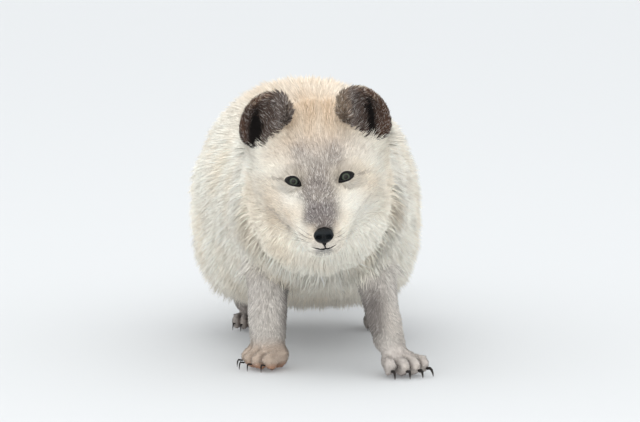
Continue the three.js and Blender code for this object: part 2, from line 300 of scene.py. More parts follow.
def by_part(owner, table):
    """One number per vertex from a table of part names, each of which may be the start of a node's name."""
    value = np.zeros(len(flesh))
    for index, name in enumerate(flesh):
        match = [key for key in table if name.startswith(key)]
        value[index] = table[max(match, key=len)]
    return value[owner]


# %% [markdown]
# ## The skin
#
# The skin lies under the coat by the coat's depth: a millimetre or two on the muzzle and ears, two
# centimetres on the body. The outside is first smoothed where the solids are faceted, then let in step by
# step along its normals, so that it can't fold over itself as one large step would make it.

# %% The skin
MOST_ROUNDS = 34
SMOOTHING = {"head": 22, "muzzle": 8, "lower_jaw": 8, "ear": 4, "neck": MOST_ROUNDS, "chest": MOST_ROUNDS,
             "loin": MOST_ROUNDS, "rump": MOST_ROUNDS, "shoulder": 24, "forearm": 10, "forepaw": 2,
             "thigh": MOST_ROUNDS, "hock": 10, "hindpaw": 2, "tail": 24}
DEPTH = {"head": 2.4, "muzzle": 1.3, "lower_jaw": 2.2, "ear": 1.0, "neck": 17, "chest": 18, "loin": 18,
         "rump": 18, "shoulder": 12, "forearm": 4.0, "forepaw": 2.2, "thigh": 15, "hock": 6, "hindpaw": 2.2,
         "tail": 20}
CHEEK_MIDDLE = (0, -12, -12)  # in the head's frame, the middle of the ball that cheeks and ruff make
LET_IN_STEPS = 8
THINNED_TO = 0.36  # the share of the skin's faces that is kept

points, pairs = points_of(skin), edges_of(skin)
owner = owners(points)
rounds = spread(by_part(owner, SMOOTHING), pairs, 6)
for done in range(0, MOST_ROUNDS, 2):
    points = spread(points, pairs, 2, 0.5 * np.clip((rounds - done) / 4, 0, 1))
set_points(skin, points)

head_points = to_head(points)
depth = by_part(owner, DEPTH)
from_face = np.linalg.norm(head_points - CHEEK_MIDDLE, axis=1)
low_side = ramp(-head_points[:, 2] + 0.35 * np.abs(head_points[:, 0]), 0, 26)
head_depth = 1.9 + (7.5 + 7.5 * low_side) * ramp(from_face, 30, 92)
depth = np.where(owner == flesh.index("head"), head_depth, depth)
throat = np.minimum(depth, 3.5 + 15 * ramp(from_face, 34, 104))
depth = np.where(owner == flesh.index("neck"), throat, depth)
depth = spread(depth, pairs, 10)
for step in range(LET_IN_STEPS):
    inward = unit(spread(normals_of(skin), pairs, 3))
    points = points - inward * (depth * MM / LET_IN_STEPS)[:, None]
    points = spread(points, pairs, 2, 0.5 * np.clip(depth / 12, 0, 1))
    set_points(skin, points)
kept = skin.data.attributes.new("coat_depth", "FLOAT", "POINT")
kept.data.foreach_set("value", depth.astype(np.float32))
print("coat depth from", round(depth.min(), 1), "to", round(depth.max(), 1), "mm")

# Under the deep fur the skin needs few faces, so it is thinned there, and kept on the face, the ears and
# the feet.
deep_fur = skin.vertex_groups.new(name="deep_fur")
weights = ramp(depth, 3.0, 9.0)
for level in np.arange(0.1, 1.01, 0.1):
    inside = np.flatnonzero(np.round(weights, 1) == round(level, 1))
    deep_fur.add(inside.tolist(), level, "REPLACE")
thin = skin.modifiers.new("thin", "DECIMATE")
thin.ratio = THINNED_TO
thin.vertex_group = "deep_fur"
apply_modifiers(skin)
skin.vertex_groups.clear()
print("thinned to", len(skin.data.polygons), "faces")

# %% [markdown]
# ## A finer face
#
# Lids, brows, lips and toes need smaller faces than the flanks do. The faces in front of the head and on
# the feet are selected by their place and subdivided, and the ones round the eyes and the mouth once more.

# %% A finer face
def subdivide_where(obj, wanted):
    """Subdivides the faces whose centres, in the head's frame, pass the test."""
    centres = np.empty(len(obj.data.polygons) * 3, np.float32)
    obj.data.polygons.foreach_get("center", centres)
    chosen = wanted(to_head(centres.reshape(-1, 3)))
    choose(obj)
    bpy.ops.object.mode_set(mode="EDIT")
    bpy.ops.mesh.select_mode(type="FACE")
    bpy.ops.mesh.select_all(action="DESELECT")
    bpy.ops.object.mode_set(mode="OBJECT")
    obj.data.polygons.foreach_set("select", chosen)
    bpy.ops.object.mode_set(mode="EDIT")
    bpy.ops.mesh.subdivide(number_cuts=1, smoothness=0.6)
    bpy.ops.object.mode_set(mode="OBJECT")
    print("subdivided", int(chosen.sum()), "faces")


EYES = {side: to_head(centre_of(f"eye_{side}")) for side in SIDES}
EYES["left"] = EYES["left"] + (1.3, 0, 0) + 1.1 * RISE  # the left lids open a little higher and farther out
NOSE_PAD = to_head(centre_of("nose_pad"))
NOSE = NOSE_PAD + (0.8, 0, 0) + 1.2 * RISE  # the bare nose sits in the upper part of its pad
FACE_BACK, FACE_HALF_WIDTH, FEET_TOP, ROUND_EYE, MUZZLE_BACK = 18, 42, 20, 17, -38
subdivide_where(skin, lambda p: (p[:, 1] < FACE_BACK) & (np.abs(p[:, 0]) < FACE_HALF_WIDTH))
subdivide_where(skin, lambda p: from_head(p)[:, 2] < FEET_TOP * MM)
subdivide_where(skin, lambda p: (np.linalg.norm(p - EYES["left"], axis=1) < ROUND_EYE)
                | (np.linalg.norm(p - EYES["right"], axis=1) < ROUND_EYE) | (p[:, 1] < MUZZLE_BACK))
print("skin:", len(skin.data.vertices), "vertices")

# %% [markdown]
# ## Toes
#
# A fox stands on four toes, with a cleft between each two, where the short fur grows sparse and painted shade
# darkens skin and fur. The clefts are pressed into the skin along lines that spread a little towards the
# front of the paw, so that the toes round up between them. Each paw has the place of its sole, how far it
# turns out, its reach ahead and its half width, in degrees and millimetres.

# %% Toes
EYES_DRAWN = np.array((-0.917, -74.45))  # the middle between the eyes, in the places used in drawing the body
TO_ROW = np.append(np.array(between_eyes)[:2] / MM - EYES_DRAWN, 0.0)  # from those places to the row's frame
PAWS = {"forepaw_right": ((-44, 5), -55, 27, 24), "forepaw_left": ((69, -28), 28, 27, 24),
        "hindpaw_right": ((-66, 238), -10, 25, 17), "hindpaw_left": ((55, 240), 10, 25, 17)}
TOES = (-1.5, -0.5, 0.5, 1.5)
CLEFT_DEPTH = 3.2


def in_paw(points, paw):
    """Millimetres across, ahead of and above the middle of a paw's sole."""
    (x, y), degrees, _, _ = PAWS[paw]
    turn_back = np.array(Matrix.Rotation(math.radians(degrees), 3, "Z"))
    place = (points / MM - TO_ROW - (x, y, 0)) @ turn_back
    return place * (1, -1, 1)


def toes_at(points):
    """1 in the clefts between the toes, and 1 at the tips of the toes."""
    gaps, tips = np.zeros(len(points)), np.zeros(len(points))
    for paw, (_, _, reach, half) in PAWS.items():
        across, ahead, up = in_paw(points, paw).T
        here = (np.abs(across) < half + 4) & (ahead > 0) & (ahead < reach + 6) & (up < 24)
        fan = half * (0.42 + 0.08 * ahead / reach)
        for cleft in (-1, 0, 1):
            line = np.exp(-((across - cleft * fan) / 1.5) ** 2)
            gaps = np.maximum(gaps, here * line * ramp(ahead, 4, 11) * (1 - ramp(up, 17, 22)))
        tips = np.maximum(tips, here * ramp(ahead, reach - 9, reach - 2))
    return gaps, tips


points = points_of(skin)
gaps, tips = toes_at(points)
points = points - normals_of(skin) * (gaps * CLEFT_DEPTH * MM)[:, None]
set_points(skin, points)
print("pressed in", int((gaps > 0.5).sum()), "points between the toes")

# %% [markdown]
# ## Eye sockets, lids and lips
#
# A fox's eye is an almond that slants up and out, with its inner corner drawn down towards the nose. The
# skin is pressed in behind the eyeball inside the almond, and laid over the ball as a thin lid around it.
# Everything is measured in the plane that the viewer sees: across the face, and up it.

# %% Eye sockets, lids and lips
BALL = 8.2  # the eyeball's radius in millimetres
EYE_SLANT = math.radians(13)
ALMOND = {"half_length": 4.8, "over": 2.8, "under": 2.5, "lift": 0.3}
INNER_DROP = 1.1  # how far the inner corner is drawn down
# The bare spot at the inner corner: its place along and across the eye, and its half width and half height.
TEAR, TEAR_SIZE = (-6.6, -0.8), (2.0, 0.9)


def eye_axes(side):
    """The directions in the head's frame along the eye's opening, outwards, and up across it."""
    outward = np.array((SIDES[side], 0, 0))
    along = outward * math.cos(EYE_SLANT) + RISE * math.sin(EYE_SLANT)
    across = -outward * math.sin(EYE_SLANT) + RISE * math.cos(EYE_SLANT)
    return along, across


def almond_place(head_points, side):
    """How far along, across and out of the eye each point lies, and its distance from the almond's middle,
    where 1 is the almond's edge."""
    along, across = eye_axes(side)
    offset = head_points - EYES[side] - ALMOND["lift"] * RISE
    p, q, out = offset @ along, offset @ across, offset @ LOOK
    inner = np.clip(-p / ALMOND["half_length"], 0, 2)
    q = q + INNER_DROP * inner ** 2
    half = np.where(q > 0, ALMOND["over"], ALMOND["under"])
    return p, q, out, ((p / ALMOND["half_length"]) ** 2 + (np.abs(q) / half) ** 1.7) ** 0.5


def ball_height(far):
    """How far the eyeball's front stands out at a distance from its axis, carried on past it as a slope."""
    edge = 0.74 * BALL
    slope = edge / math.sqrt(BALL ** 2 - edge ** 2)
    inside = np.sqrt(np.maximum(BALL ** 2 - np.minimum(far, edge) ** 2, 0))
    return inside - slope * np.maximum(far - edge, 0)


# The line between the lips as the viewer sees it, from the middle of the nose's pad, and its half widths.
LIP_LINE = np.array([(-10.0, -7.6), (-7.8, -8.5), (-5.4, -9.2), (-2.8, -9.9), (0.0, -10.1), (1.6, -9.4),
                     (3.6, -9.8), (6.2, -9.2), (8.8, -8.0), (11.2, -6.8)])
LIP_SIZES = [0.1, 0.3, 0.5, 0.65, 0.8, 0.85, 0.75, 0.5, 0.3, 0.1]


def lip_gap(local):
    """How far above the line between the lips each point lies in the viewer's plane, and whether it is in
    front."""
    offset = local - NOSE_PAD
    height = np.interp(offset[:, 0], *LIP_LINE.T)
    front = (np.abs(offset[:, 0]) < 12.2) & (offset @ LOOK > -16)
    return offset @ RISE - height, front


points = points_of(skin)
pairs = edges_of(skin)
local = to_head(points)
fine = (local[:, 1] < FACE_BACK - 4) & (np.abs(local[:, 0]) < FACE_HALF_WIDTH)
points = spread(points, pairs, 3, 0.4 * fine)
local = to_head(points)
for side in SIDES:
    p, q, out, rim = almond_place(local, side)
    near = (rim < 3.5) & (out > -6)
    far = np.linalg.norm(local - EYES[side] - out[:, None] * LOOK, axis=1)
    lid = ball_height(far) + 0.6
    socket = ball_height(far) - 2.6
    target = socket + (lid - socket) * ramp(rim, 0.9, 1.12)
    keep = ramp(rim, 1.25, 2.6)
    goal = np.where(rim < 1.25, target, np.maximum(target + (out - target) * keep, lid))
    local = np.where(near[:, None], local + (goal - out)[:, None] * LOOK, local)

# The lid's fold above the inner corner, and the brow that stands over it.
for side in SIDES:
    p, q, out, rim = almond_place(local, side)
    fold = np.exp(-((rim - 2.0) / 0.3) ** 2) * ramp(q, 0.5, 3) * (1 - ramp(p, -1, 3))
    brow = np.exp(-((rim - 2.9) / 0.6) ** 2) * ramp(q, 1.5, 4) * (1 - ramp(p, 2, 7))
    local = local + (0.8 * brow - 0.9 * fold)[:, None] * LOOK
    far = np.linalg.norm(local - EYES[side] - out[:, None] * LOOK, axis=1)
    sunk = np.maximum(ball_height(far) + 0.35 - (local - EYES[side]) @ LOOK, 0)
    local = local + (sunk * (rim > 1.25) * (rim < 4) * (out > -6))[:, None] * LOOK

# The mouth: a groove between the lips from the front of the muzzle back to its corners.
MOUTH_FRONT, MOUTH_CORNER = np.array((-60, -33.4)), np.array((-18, -28.4))


def mouth_line(local):
    """The height of the line between the lips."""
    back = np.clip((local[:, 1] - MOUTH_FRONT[0]) / (MOUTH_CORNER[0] - MOUTH_FRONT[0]), 0, 1)
    return MOUTH_FRONT[1] + (MOUTH_CORNER[1] - MOUTH_FRONT[1]) * back


in_mouth = np.exp(-(local[:, 2] - mouth_line(local)) ** 2) * (local[:, 1] < MOUTH_CORNER[0])
in_mouth = in_mouth * (1 - ramp(local[:, 1], -30, -20))
set_points(skin, from_head(local))
points = points_of(skin) - normals_of(skin) * (in_mouth * 1.1 * MM)[:, None]
set_points(skin, points)

# The skin draws back under the bare nose, which covers it.
points = points_of(skin)
UNDER_NOSE = (8.4, 8.6, 6.6)  # half sizes of the oval that draws back
under_nose = 1 - ramp(np.linalg.norm((to_head(points) - NOSE) / UNDER_NOSE, axis=1), 0.75, 1.05)
local = to_head(points) + (under_nose * 3.6)[:, None] * np.array((0, 1, 0.2))
set_points(skin, from_head(local))
print("sculpted the face")

# %% [markdown]
# ## The skin's own map
#
# The skin is unwrapped once into a map, for baking each piece's colours into an image. Each tuft later
# takes a small patch of the same map, at its root.

# %% The skin's own map
BAKE_MAP = "OFBake"
skin.data.uv_layers.new(name=BAKE_MAP)
choose(skin)
bpy.ops.object.mode_set(mode="EDIT")
bpy.ops.mesh.select_all(action="SELECT")
bpy.ops.uv.smart_project(angle_limit=math.radians(70), island_margin=0.002)
bpy.ops.object.mode_set(mode="OBJECT")
bpy.ops.object.shade_smooth()

skin.data.calc_loop_triangles()
triangle_count = len(skin.data.loop_triangles)
corners = np.empty(triangle_count * 3, np.int32)
loops = np.empty(triangle_count * 3, np.int32)
skin.data.loop_triangles.foreach_get("vertices", corners)
skin.data.loop_triangles.foreach_get("loops", loops)
corners, loops = corners.reshape(-1, 3), loops.reshape(-1, 3)
skin_map = np.empty(len(skin.data.loops) * 2, np.float32)
skin.data.uv_layers[BAKE_MAP].data.foreach_get("uv", skin_map)
skin_map = skin_map.reshape(-1, 2).astype(float)
print(triangle_count, "triangles of skin")

# %% [markdown]
# ## How the fur lies
#
# Fur lies away from the nose, back along the body and down the legs. One direction is set for each part,
# and the directions are then evened out over the whole skin and pressed flat onto it, so that they turn
# smoothly where parts meet.

# %% How the fur lies
TAIL_LINE = np.array(((-20, 300, 168), (-15, 376, 110), (-8, 408, 68), (2, 456, 43), (12, 504, 38),
                      (18, 560, 26)))
TAIL_LINE = (TAIL_LINE + TO_ROW) * MM
EAR_MIDDLE = {side: np.array((43 * sign, 42, 34)) for side, sign in SIDES.items()}
EAR_TIP_WAY = {side: unit(np.array((0.42 * sign, 0.1, 0.9))) for side, sign in SIDES.items()}


def on(owner, *names):
    """True where the nearest part's name starts with one of the names."""
    wanted = [index for index, name in enumerate(flesh) if name.startswith(names)]
    return np.isin(owner, wanted)


def lie_of(points, normals, owner):
    """The way the fur lies at each point of the row's frame, before it is evened out."""
    local = to_head(points)
    away = unit(local - NOSE) @ TURN.T
    x_row = points[:, 0] - TO_ROW[0] * MM
    front = ramp(-normals[:, 1], 0.1, 0.8)
    lie = np.column_stack((0.25 * np.sign(x_row), 0.85 - 0.9 * front, -0.5 - 0.4 * front))
    near_head = 1 - ramp(np.linalg.norm(local, axis=1), 70, 130)
    lie = lie + 1.6 * near_head[:, None] * (away - (0, 0, 0.35))
    face = on(owner, "head", "muzzle", "lower_jaw")
    outward = ramp(np.abs(local[:, 0]), 26, 52) * np.sign(local[:, 0])
    spread_out = outward[:, None] * TURN[:, 0]
    lie[face] = (away + 0.6 * spread_out)[face] - (0, 0, 0.12)
    for side in SIDES:
        ear = on(owner, f"ear_{side}")
        lie[ear] = EAR_TIP_WAY[side] @ TURN.T
    leg = on(owner, "forearm", "hock")
    lie[leg] = (0, 0.12, -1)
    for paw, (_, degrees, _, _) in PAWS.items():
        way = math.radians(degrees)
        lie[on(owner, paw)] = (0.8 * math.sin(way), -0.8 * math.cos(way), -0.35)
    tail = on(owner, "tail")
    middles = (TAIL_LINE[1:] + TAIL_LINE[:-1]) / 2
    nearest = np.linalg.norm(points[tail][:, None] - middles[None], axis=2).argmin(axis=1)
    lie[tail] = unit(TAIL_LINE[1:] - TAIL_LINE[:-1])[nearest]
    return lie


def flat_on(vectors, normals):
    """Presses vectors flat onto the skin and gives them length 1."""
    return unit(vectors - (vectors * normals).sum(axis=1)[:, None] * normals)


points, normals, pairs = points_of(skin), normals_of(skin), edges_of(skin)
owner = owners(points)
local = to_head(points)
depth = np.empty(len(points), np.float32)
skin.data.attributes["coat_depth"].data.foreach_get("value", depth)
soft_normals = unit(spread(normals, pairs, 6))
lies = lie_of(points, normals, owner)
lies = flat_on(spread(unit(lies), pairs, 24), soft_normals)
for side in SIDES:
    p, q, out, rim = almond_place(local, side)
    from_eye = unit(local - EYES[side] - out[:, None] * LOOK) @ TURN.T
    close = (1 - ramp(rim, 1.9, 3.6)) * (out > -8)
    against = np.clip(-(lies * from_eye).sum(axis=1), 0, 1)
    beside_nose = ramp(-p, 2, 6) * ramp(rim, 1.5, 2.2)
    push = (0.8 + 2.2 * against) * (1 - beside_nose) + against * beside_nose
    lies = lies + (close * push)[:, None] * from_eye
lies = flat_on(spread(unit(lies), pairs, 3), soft_normals)
print("combed", len(lies), "points")

# %% [markdown]
# ## Where the colours go
#
# The coat is cream, greyer on the face, brown on the ears and grey in the legs. Each mark is a soft oval
# with a colour. One function mixes them, and both skin and tufts ask it for their colour, so they agree. It
# also says how grizzled the coat is there, because a grey mask is dark and white hairs side by side.

# %% Where the colours go
def tint(red, green, blue):
    """A colour as seen on a screen, as the amounts of light that materials use."""
    return np.array([((c / 255 + 0.055) / 1.055) ** 2.4 for c in (red, green, blue)])


CREAM = tint(249, 244, 231)
WARM_CREAM = tint(246, 230, 205)
WHITE = tint(250, 248, 243)
PALE_LIP = tint(240, 230, 218)
SMOKE = tint(112, 104, 103)
DUSK = tint(192, 182, 176)
TAN = tint(202, 174, 143)
RUST = tint(150, 104, 74)
UMBER = tint(98, 84, 77)
BROWN = tint(66, 54, 49)
SOOT = tint(24, 20, 19)
BARK = tint(84, 67, 59)
EAR_EDGE = tint(226, 208, 184)
LIP_SHADOW_BLUE = tint(120, 120, 126)
LEG_GREY = tint(205, 199, 194)
STONE = tint(150, 141, 137)
FLINT = tint(122, 115, 112)
EYE_SHADE = tint(122, 110, 100)
PAW_GREY = tint(184, 175, 169)
PAW_TAN = tint(184, 162, 142)
PAW_PALE = tint(236, 222, 208)
RUST_SOLE = tint(180, 112, 66)
UNDERSIDE_SHADE = tint(178, 166, 152)

# In the head's plane as the viewer sees it: across, up from the eyes' line, half width, half height,
# softness, colour, strength and grizzle.
FACE_MARKS = [
    (0, 36, 38, 24, 0.6, TAN, 0.5, 0.1),
    (0, 22, 36, 16, 0.6, DUSK, 0.4, 0.15),
    (0, 12, 18, 15, 0.7, SMOKE, 0.38, 0.22),
    (-14, 20, 6, 10, 0.7, SMOKE, 0.36, 0.25),
    (13, 17, 6, 10, 0.7, SMOKE, 0.36, 0.25),
    (0, -2, 12, 12, 0.7, SMOKE, 0.58, 0.3),
    (0, -18, 15, 18, 0.5, SMOKE, 0.72, 0.3),
    (-11, -14, 5, 8, 0.8, SMOKE, 0.4, 0.3),
    (0, -31, 13, 12, 0.45, SMOKE, 0.85, 0.25),
    (0.8, -38, 9, 4, 0.6, UMBER, 0.4, 0.2),
    (-9, -44, 3, 6, 0.8, TAN, 0.35, 0.1),
    (10.5, -44, 3, 6, 0.8, TAN, 0.35, 0.1),
    (-24, -12, 8, 9, 0.7, WHITE, 0.3, 0.0),
    (27, -14, 10, 12, 0.7, WHITE, 0.3, 0.0),
    (-38, -6, 10, 11, 0.7, TAN, 0.3, 0.12),
    (-32, -24, 12, 12, 0.8, TAN, 0.34, 0.12),
    (-20, -32, 7, 9, 0.8, TAN, 0.25, 0.1),
    (38, -8, 10, 11, 0.7, TAN, 0.15, 0.1),
    (-22, 8, 6, 3, 0.7, WHITE, 0.15, 0.0),
    (22, 9, 6, 3, 0.7, WHITE, 0.15, 0.0),
    (0, -53, 12, 5, 0.6, PALE_LIP, 0.7, 0.0),
]
CROWN_MARKS = [
    (0, 62, 44, 30, 0.6, TAN, 0.62, 0.1),
    (-20, 58, 5, 22, 0.8, TAN, 0.65, 0.2),
    (-5, 62, 5, 24, 0.8, TAN, 0.6, 0.2),
    (12, 58, 5, 22, 0.8, TAN, 0.6, 0.2),
    (0, 100, 84, 50, 1.0, TAN, 0.62, 0.15),
]


# Thin dark lines in the same plane: start, end, half width, colour and strength. The first two run from the
# eyes' outer corners; the next ones are painted shade in the folds of the cheeks and the brow.
LINES_AND_FOLD_SHADE = [
    (-28.5, 0.8, -40, 2.2, 1.0, UMBER, 0.6),
    (30.5, 1.6, 41, 1.6, 1.0, UMBER, 0.55),
    (-37, -22, -24.5, -40, 0.7, STONE, 0.55),
    (-25.5, -37, -23.5, -41, 0.8, UMBER, 0.5),
    (37, -17.5, 24, -34, 0.7, STONE, 0.4),
    (-45, 27, -45.5, 15, 0.9, UMBER, 0.45),
    (-14.5, 9.5, -12.8, 3.0, 0.8, UMBER, 0.6),
    (16.5, 9.5, 13.6, 3.5, 0.8, UMBER, 0.6),
]


def stroke(places, x0, y0, x1, y1, wide):
    """1 along a line from one place to another, 0 away from it."""
    start, step = np.array((x0, y0)), np.array((x1 - x0, y1 - y0))
    along = np.clip((places - start) @ step / (step @ step), 0, 1)
    far = np.linalg.norm(places - start - along[:, None] * step, axis=1)
    return (1 - ramp(far, 0.4 * wide, 1.6 * wide)) * (1 - 0.7 * along)


def mixed(colour, other, weight):
    return colour + (other - colour) * np.asarray(weight)[:, None]


# Where the painted shadow in the hollow of each ear runs: its middle and half width out from the ear's own
# middle line, in millimetres, and the same up the ear.
HOLLOW_SHADOWS = {"left": (2.4, 5.2, -4, 20), "right": (7.0, 7.0, -8, 18)}
INNER_EDGES = {"left": 19, "right": 22}  # where each ear's inner edge turns cream


def ear_colour(local, ways):
    """Painted shadow, black as soot, in the hollow, brown round it, rusty at the rim, grey-brown hair from
    the inner edge, a cream back, and how grizzled each is."""
    colour, rough = np.tile(BARK, (len(local), 1)), np.full(len(local), 0.3)
    speckle = ripple(local * MM, 3.5 * MM, 31)
    for side, sign in SIDES.items():
        mine = (np.sign(local[:, 0]) == sign).astype(float)
        offset = local - EAR_MIDDLE[side]
        outward, up = offset[:, 0] * sign, offset @ EAR_TIP_WAY[side]
        middle, half, height, reach = HOLLOW_SHADOWS[side]
        inner = ramp(middle - outward, half - 2.5, half + 3)
        colour = mixed(colour, UMBER, mine * inner)
        edge = INNER_EDGES[side]
        colour = mixed(colour, DUSK, mine * 0.2 * ramp(-outward, edge - 13, edge - 3))
        colour = mixed(colour, TAN, mine * 0.4 * ramp(-outward, edge - 5, edge))
        # Painted shadow in the ear's hollow: soot black where its cup falls into shade.
        hollow_shadow = blot(np.column_stack((outward, up)), (middle, height), (half, reach), 0.35)
        colour = mixed(colour, SOOT, mine * hollow_shadow)
        rim = mine * np.maximum(ramp(up, 13, 20), 0.7 * ramp(outward, middle + half + 1, middle + half + 5))
        colour = mixed(colour, RUST, 0.3 * rim * (0.7 + 0.5 * speckle))
        colour = mixed(colour, WARM_CREAM, rim * 0.5 * ramp(speckle, 0.35, 0.9) * ramp(up, 10, 18))
        colour = mixed(colour, WARM_CREAM, mine * 0.9 * ramp(ways @ TURN[:, 1], 0.1, 0.6))
        colour = mixed(colour, EAR_EDGE, mine * 0.9 * ramp(-outward, edge - 1, edge + 3))
        rough = rough * (1 - mine * hollow_shadow)
    return colour, rough


def markings(points, ways, owner, tufts=True):
    """The coat's colour at each point, and how grizzled it is."""
    local = to_head(points)
    across, up = local[:, 0], local @ RISE - EYE_LINE
    colour = np.tile(CREAM, (len(points), 1))
    grizzle = np.full(len(points), 0.07)
    sway = ripple(points, 26 * MM, 3)
    colour = mixed(colour, WARM_CREAM, 0.5 * ramp(ripple(points, 60 * MM, 5), -0.2, 1.0))
    colour = mixed(colour, TAN, 0.16 * ramp(ripple(points, 34 * MM, 9), 0.1, 1.0))
    facing = ramp(-local[:, 1], -44, -14) * ramp(local[:, 2], -60, -50)
    seen = np.column_stack((across + 1.6 * sway, up + 1.5 * ripple(points, 18 * MM, 8)))
    crown = ramp(local[:, 2] + 0.5 * np.maximum(local[:, 1] - 30, 0), 10, 30)
    crown = crown * (1 - ramp(local[:, 1], 150, 240))
    for where, marks in ((facing, FACE_MARKS), (crown, CROWN_MARKS)):
        for x, y, wide, high, soft, mark, strength, rough in marks:
            inside = where * blot(seen, (x, y), (wide, high), soft)
            colour = mixed(colour, mark, strength * inside)
            grizzle = np.maximum(grizzle, rough * inside)
    flat = np.column_stack((across, up))
    for *line, wide, mark, strength in LINES_AND_FOLD_SHADE:
        colour = mixed(colour, mark, strength * facing * stroke(flat, *line, wide))
    for side in SIDES:
        p, q, out, rim = almond_place(local, side)
        front = (out > -8) & (rim < 5)
        round_eye = 0.5 * (out > -25) * (1 - ramp(rim, 2.2, 4.4))
        in_eye = np.column_stack((p, q))
        tear = blot(in_eye, TEAR, TEAR_SIZE, 0.4)
        colour = mixed(colour, EYE_SHADE, round_eye * blot(in_eye, (-2.5, 1.8), (12, 9), 1.0))
        colour = mixed(colour, WHITE, front * 0.25 * blot(in_eye, (0, -5.6), (5, 1.1), 0.5))
        if not tufts:
            colour = mixed(colour, SOOT, front * np.maximum(1 - ramp(rim, 1.36, 1.52), 0.95 * tear))
    if not tufts:
        off_nose = np.linalg.norm((local - NOSE) / (8.4, 9.6, 6.7), axis=1)
        colour = mixed(colour, SOOT, 1 - ramp(off_nose, 0.9, 1.05))
    lips = np.exp(-((local[:, 2] - mouth_line(local)) / 0.9) ** 2) * (1 - ramp(local[:, 1], -44, -34))
    colour = mixed(colour, BROWN, (0.2 if tufts else 0.6) * lips * (local[:, 1] < -20))
    gap, at_lips = lip_gap(local)
    # Painted shadow under the upper lip: a blue-grey band just below the line between the lips, in the middle
    # of the mouth.
    lip_shadow = at_lips * ramp(gap, -3.2, -1.2) * (1 - ramp(gap, 0.2, 0.8))
    lip_shadow = lip_shadow * (1 - ramp(np.abs(local[:, 0]), 4, 9))
    colour = mixed(colour, LIP_SHADOW_BLUE, 0.55 * lip_shadow)
    ear = on(owner, "ear")
    colour[ear], grizzle[ear] = ear_colour(local[ear], ways[ear])
    height = points[:, 2] / MM
    leg = on(owner, "forearm", "hock", "shoulder", "thigh", "forepaw", "hindpaw")
    leg = leg * (1 - ramp(height, 75, 120))
    colour = mixed(colour, LEG_GREY, 0.8 * leg)
    grizzle = np.maximum(grizzle, 0.15 * leg)
    left = points[:, 0] / MM - TO_ROW[0]
    inside = on(owner, "forearm_left", "forepaw_left") * ramp(57.6 - left, -3, 9)
    inside += on(owner, "forearm_right", "forepaw_right") * ramp(left + 41.4, 1, 9)
    colour = mixed(colour, FLINT, 0.85 * inside * ramp(height, 20, 40) * (1 - ramp(height, 62, 88)))
    foot = leg * (1 - ramp(height, 17, 33))
    fore_right = on(owner, "forepaw_right", "forearm_right")
    colour = mixed(colour, PAW_GREY, 0.6 * foot)
    colour = mixed(colour, PAW_TAN, 0.7 * foot * fore_right)
    colour = mixed(colour, RUST_SOLE, 0.55 * foot * fore_right * (1 - ramp(height, 4, 10)))
    colour = mixed(colour, RUST_SOLE, 0.1 * foot * (1 - ramp(height, 2, 7)))
    # The hind legs are darker: partly their own stone grey, partly painted shade under the body.
    hind = on(owner, "hindpaw", "hock") + on(owner, "thigh") * (1 - ramp(height, 60, 100))
    colour = mixed(colour, STONE, 0.55 * hind)
    gaps, tips = toes_at(points)
    colour = mixed(colour, PAW_PALE, 0.35 * tips * (1 - fore_right))
    # Painted shade in the clefts between the toes.
    colour = mixed(colour, UMBER if tufts else BROWN, 0.85 * gaps)
    spine = np.abs(points[:, 0]) / MM
    saddle = ramp(height, 185, 238) * (1 - ramp(spine, 40, 92)) * (1 - on(owner, "ear", "head"))
    saddle = np.maximum(saddle, ramp(height, 150, 190) * (1 - ramp(spine, 18, 45)) * on(owner, "neck"))
    colour = mixed(colour, TAN, 0.55 * saddle)
    grizzle = np.maximum(grizzle, 0.16 * saddle)
    # Painted shade under the body: the chest, loin and rump are darker towards the bottom.
    low = (1 - ramp(height, 45, 85)) * on(owner, "loin", "rump", "chest")
    colour = mixed(colour, UNDERSIDE_SHADE, 0.5 * low)
    return np.clip(colour, 0, 1), grizzle


def paint(obj, colours):
    layer = obj.data.attributes.new("coat_colour", "FLOAT_COLOR", "POINT")
    rgba = np.column_stack((colours, np.ones(len(colours)))).astype(np.float32)
    layer.data.foreach_set("color", rgba.ravel())


paint(skin, markings(points, normals, owner, tufts=False)[0])
print("painted the skin")

# %% [markdown]
# ## One tuft, thousands of times
#
# Real fur sticks together in little locks, so a coat can be made of tufts: thin closed spindles that rise
# from the skin, bend over and end in a point. A long tuft has six faces and a short one four. They are
# built as arrays, because more than a quarter of a million of them could not be placed by hand, and a
# particle system could not be exported.
#
# Each tuft leans towards a neighbour that leads its clump, sags a little, and takes its patch of the skin's
# map and its colour from the place of its root.

# %% One tuft, thousands of times
TETRA = ((0, 1, 2), (3, 2, 1), (0, 3, 1), (0, 2, 3))
SPINDLE = ((0, 2, 1), (0, 3, 2), (0, 1, 3), (4, 1, 2), (4, 2, 3), (4, 3, 1))
THREE_WAYS = (math.pi / 2, math.pi * 7 / 6, math.pi * 11 / 6)
THICKEST = 0.45  # how far along a tuft it is thickest
LOWEST_TIP, LOWEST_MIDDLE = 0.4 * MM, 0.8 * MM  # no tuft goes through the ground
PATCH = 0.0015  # half the breadth of a tuft's place in the map that is baked
area = np.linalg.norm(np.cross(points[corners[:, 1]] - points[corners[:, 0]],
                               points[corners[:, 2]] - points[corners[:, 0]]), axis=1) / 2
corner_maps = skin_map[loops]


def lean_to_leaders(root, tip, every, pull):
    """Draws each tuft's tip towards the tip of the nearest clump's leader."""
    leaders = np.arange(0, len(root), every)
    tree = KDTree(len(leaders))
    for place, index in enumerate(leaders):
        tree.insert(root[index], place)
    tree.balance()
    nearest = leaders[np.array([tree.find(r)[1] for r in root])]
    return tip + (tip[nearest] - tip) * pull[:, None]


